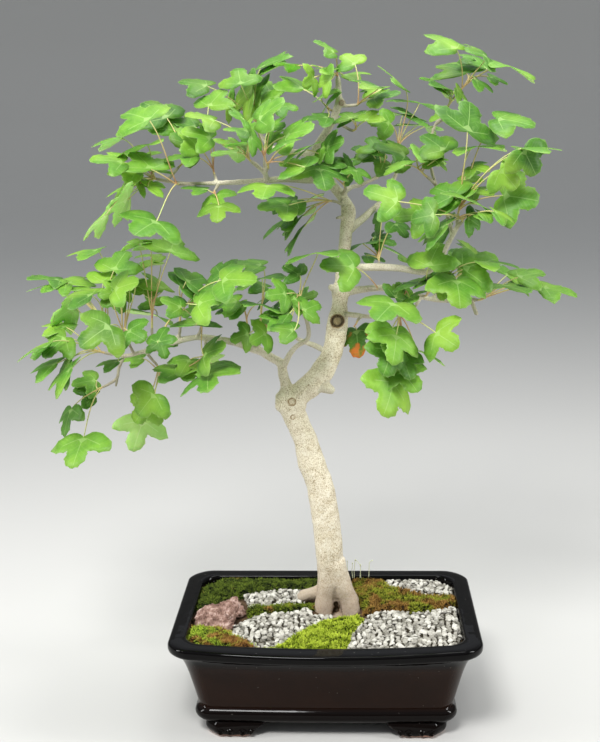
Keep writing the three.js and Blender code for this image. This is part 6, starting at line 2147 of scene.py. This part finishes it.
    def stalk_line(self, start: Vector, heading: Vector, pose: LeafPose, draw: random.Random) -> list[Vector]:
        """Returns the middle line of a leaf stalk, from the shoot to the blade.

        Args:
            start: Where it leaves the shoot.
            heading: The direction of the shoot there.
            pose: The blade that it carries.
            draw: The source of random numbers.

        Returns:
            The points of a gently bowed line.
        """
        end = pose.place + pose.normal * (0.018 * pose.length)
        way = end - start
        reach = way.length
        leave = (way.normalized() * 1.5 + heading * 0.7 + Vector((0, 0, 0.25))).normalized()
        bow = Vector((draw.uniform(-1, 1), draw.uniform(-1, 1), draw.uniform(0.0, 1.2))) * 0.03 * reach
        arrive = (way.normalized() * 1.3 + pose.along * 0.5 - pose.normal * 0.35).normalized()
        first = start + leave * reach * 0.34 + bow
        second = end - arrive * reach * 0.3 + bow
        count = max(6, round(reach / 4.5))
        points = []
        for k in range(count + 1):
            t = k / count
            s = 1 - t
            points.append(start * s**3 + first * (3 * s * s * t) + second * (3 * s * t * t) + end * t**3)
        return points

    def stems(
        self, plan: SprayPlan, poses: list[LeafPose], draw: random.Random
    ) -> list[tuple[list[Vector], list[float], list[float]]]:
        """Finds the young shoot and the leaf stalks of a spray.

        Args:
            plan: The spray as it was written down.
            poses: Its blades.
            draw: The source of random numbers.

        Returns:
            The middle line, the radii and the pink flush of each.
        """
        foot, tip = VIEW.seen_at(*plan.twig[-1]), VIEW.seen_at(*plan.stem)
        heading = (tip - foot).normalized()
        before = VIEW.seen_at(*plan.twig[-2]) if len(plan.twig) > 1 else foot - heading * 6
        reach = (tip - foot).length
        control = foot + (foot - before).normalized() * reach * 0.3
        shares = [k / 8 for k in range(9)]
        shoot = [bent(foot, control, tip, share) for share in shares]
        lines = [(shoot, [self.shoot_radius * (1.15 - 0.35 * share) for share in shares], [0.55] * 9)]
        for rank, pose in enumerate(sorted(poses, key=lambda pose: (pose.place - tip).length)):
            back = min(0.5 * reach, self.stalk_spacing * (rank // 2))
            start = bent(foot, control, tip, 1 - back / max(reach, 1e-3))
            line = self.stalk_line(start, heading, pose, draw)
            shares = [k / (len(line) - 1) for k in range(len(line))]
            radii = [self.stalk_radius * (1.06 - 0.22 * share) for share in shares]
            radii[0] *= self.stalk_foot
            radii[-1] *= self.stalk_foot
            flush = draw.uniform(0.35, 1.0)
            lines.append((line, radii, [flush * (1 - 0.75 * share) for share in shares]))
        return lines

    def build_spray(self, plan: SprayPlan, index: int, tree: Tree, inputs: dict[str, object]) -> Piece:
        """Builds one leafy spray.

        Args:
            plan: The spray as it was written down.
            index: Its place in the list, which seeds its small variations.
            tree: The geometry tree.
            inputs: The tree's inputs.

        Returns:
            The finished piece.
        """
        draw = random.Random(self.spray_seed + index)
        poses = [self.pose(leaf) for leaf in (*plan.leaves, *self.inner_leaves(plan, index))]
        places = [pose.place for pose in poses]
        count = len(places)
        edges, thickness, blush = [], [1.0] * count, [0.0] * count
        for line, radii, flush in self.stems(plan, poses, draw):
            edges += [(len(places) + k, len(places) + k + 1) for k in range(len(line) - 1)]
            places += line
            thickness += radii
            blush += flush
        mesh = bpy.data.meshes.new(f"spray_{plan.name}_leaves")
        mesh.from_pydata([tuple(place * MM) for place in places], edges, [])
        piece = stand(mesh)
        facings = [Matrix((pose.across, pose.along, pose.normal)).transposed() for pose in poses]
        turns = [part for facing in facings for part in facing.to_quaternion()]
        forms = [draw.randrange(FORM_COUNT) for _ in poses]
        # Each blade's level: the spray's tone, which carries painted light and shade, with a random spread.
        shades = [plan.tone + draw.uniform(-0.28, 0.28) for _ in poses]
        # Name, kind, the values of the blades and the value of every other point.
        layers = (
            ("turn", "QUATERNION", turns, [1.0, 0.0, 0.0, 0.0]),
            ("is_leaf", "BOOLEAN", [True] * count, [False]),
            ("form", "INT", forms, [0]), ("size", "FLOAT", [pose.length for pose in poses], [1.0]),
            ("shade", "FLOAT", [min(1.0, max(0.0, shade)) for shade in shades], [0.5]),
            ("scorch", "FLOAT", [float(i in plan.scorched) for i in range(count)], [0.0]),
            ("thickness", "FLOAT", thickness, []), ("blush", "FLOAT", blush, []),
        )
        for name, kind, values, other in layers:
            set_values(piece, name, values + other * (len(places) - count), kind)
        run_tree(piece, tree, inputs)
        finish_piece(piece, "leaf", f"spray_{plan.name}")
        return piece

    def build(self) -> None:
        """Builds every spray."""
        forms = [LeafForm(seed).build() for seed in range(FORM_COUNT)]
        inputs = {
            "Blades": set_aside("blade_forms", forms), "Stalk sides": 7, "Stalk": self.stalk.make(),
            "Upper face": self.upper.make(), "Underside": self.under.make(),
        }
        tree = self.build_tree()
        for index, plan in enumerate(SPRAY_PLANS):
            self.build_spray(plan, index, tree, inputs)
        for form in forms:
            bpy.data.meshes.remove(form.data)


# ------------------------------------------------------------------ screens and studio


@dataclass
class DrainScreens:
    """The two plastic screens over the drainage holes, whose solids are right as they are."""

    finish: MouldedPlastic = MouldedPlastic("black_moulded_polyethylene")

    def dress(self) -> None:
        """Gives both screens their finish."""
        material = self.finish.make()
        for side in ("left", "right"):
            dress(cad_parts[f"drain_screen_{side}"], material)
        LOG.info("drain screens: dressed")


@dataclass
class Studio:
    """A plain pale floor that sweeps up far away, under soft lights."""

    floor_tone: str = "#c9c8c4"
    air_tone: str = "#e6ebf2"
    air_strength: float = 0.55
    # Distance from the middle and height of the floor's sweep, in metres.
    sweep: Points = (
        (4.0, 0.0), (5.0, 0.04), (5.8, 0.2), (6.4, 0.5), (6.8, 1.0), (7.0, 1.7), (7.1, 3.4),
    )
    # Name, place, width, height and power of each light.
    lights: tuple[tuple[str, tuple[float, float, float], float, float, float], ...] = (
        ("key", (-0.35, -1.1, 1.75), 0.6, 0.45, 33.0),
        ("top", (0.25, 0.25, 1.9), 1.0, 1.0, 16.5),
        ("left_strip", (-1.5, -0.35, 0.75), 0.22, 0.8, 11.0),
        ("right_strip", (1.5, -0.35, 0.85), 0.22, 0.8, 12.0),
    )

    def build(self) -> None:
        """Builds the floor, the lights and the surrounding air."""
        sides = 64
        rings = [circle(Vector((0.0, 0.0, z / MM)), r / MM, sides) for r, z in self.sweep]
        vertices = [Vector()] + [p for ring in rings for p in ring]
        faces: list[tuple[int, ...]] = []
        for k in range(sides):
            n = (k + 1) % sides
            faces.append((0, 1 + k, 1 + n))
            for r in range(len(rings) - 1):
                a, b = 1 + r * sides, 1 + (r + 1) * sides
                faces.append((a + k, b + k, b + n, a + n))
        floor = Shell(vertices, faces).make("studio_floor")
        material = bpy.data.materials.new("matt_pale_paper")
        material.use_nodes = True
        surface = material.node_tree.nodes["Principled BSDF"]
        surface.inputs["Base Color"].default_value = linear(self.floor_tone)
        surface.inputs["Roughness"].default_value = 0.9
        floor.data.materials.append(material)
        bpy.context.scene.view_settings.view_transform = "Standard"
        world = bpy.data.worlds.new("studio_air")
        bpy.context.scene.world = world
        world.use_nodes = True
        air = world.node_tree.nodes["Background"]
        air.inputs["Color"].default_value = linear(self.air_tone)
        air.inputs["Strength"].default_value = self.air_strength
        for light in self.lights:
            self.light(*light)

    def light(
        self, name: str, place: tuple[float, float, float], width: float, height: float, power: float
    ) -> None:
        """Adds a soft light that faces the middle of the tree.

        Args:
            name: The light's name.
            place: Where it hangs, in metres.
            width: Its width in metres.
            height: Its height in metres.
            power: Its power in watts.
        """
        data = bpy.data.lights.new(name, "AREA")
        data.shape = "RECTANGLE"
        data.size = width
        data.size_y = height
        data.energy = power
        lamp = bpy.data.objects.new(name, data)
        lamp.location = place
        aim = Vector((0.0, 0.0, 0.3)) - Vector(place)
        lamp.rotation_euler = aim.to_track_quat("-Z", "Y").to_euler()
        bpy.context.collection.objects.link(lamp)


# ------------------------------------------------------------------ assembly


def main() -> None:
    """Builds the scene, piece by piece."""
    logging.basicConfig(level=logging.INFO, format="%(name)s: %(message)s")
    VIEW.make_camera()
    Studio().build()
    PotShell().build()
    DrainScreens().dress()
    forms = Forms()
    cover = GroundCover(Scatter(), forms)
    cover.dress_soil()
    cover.build_beds()
    cover.build_fruits()
    forms.clear()
    PorousRock().build()
    Wood().build()
    Foliage().build()


if __name__ == "__main__":
    main()
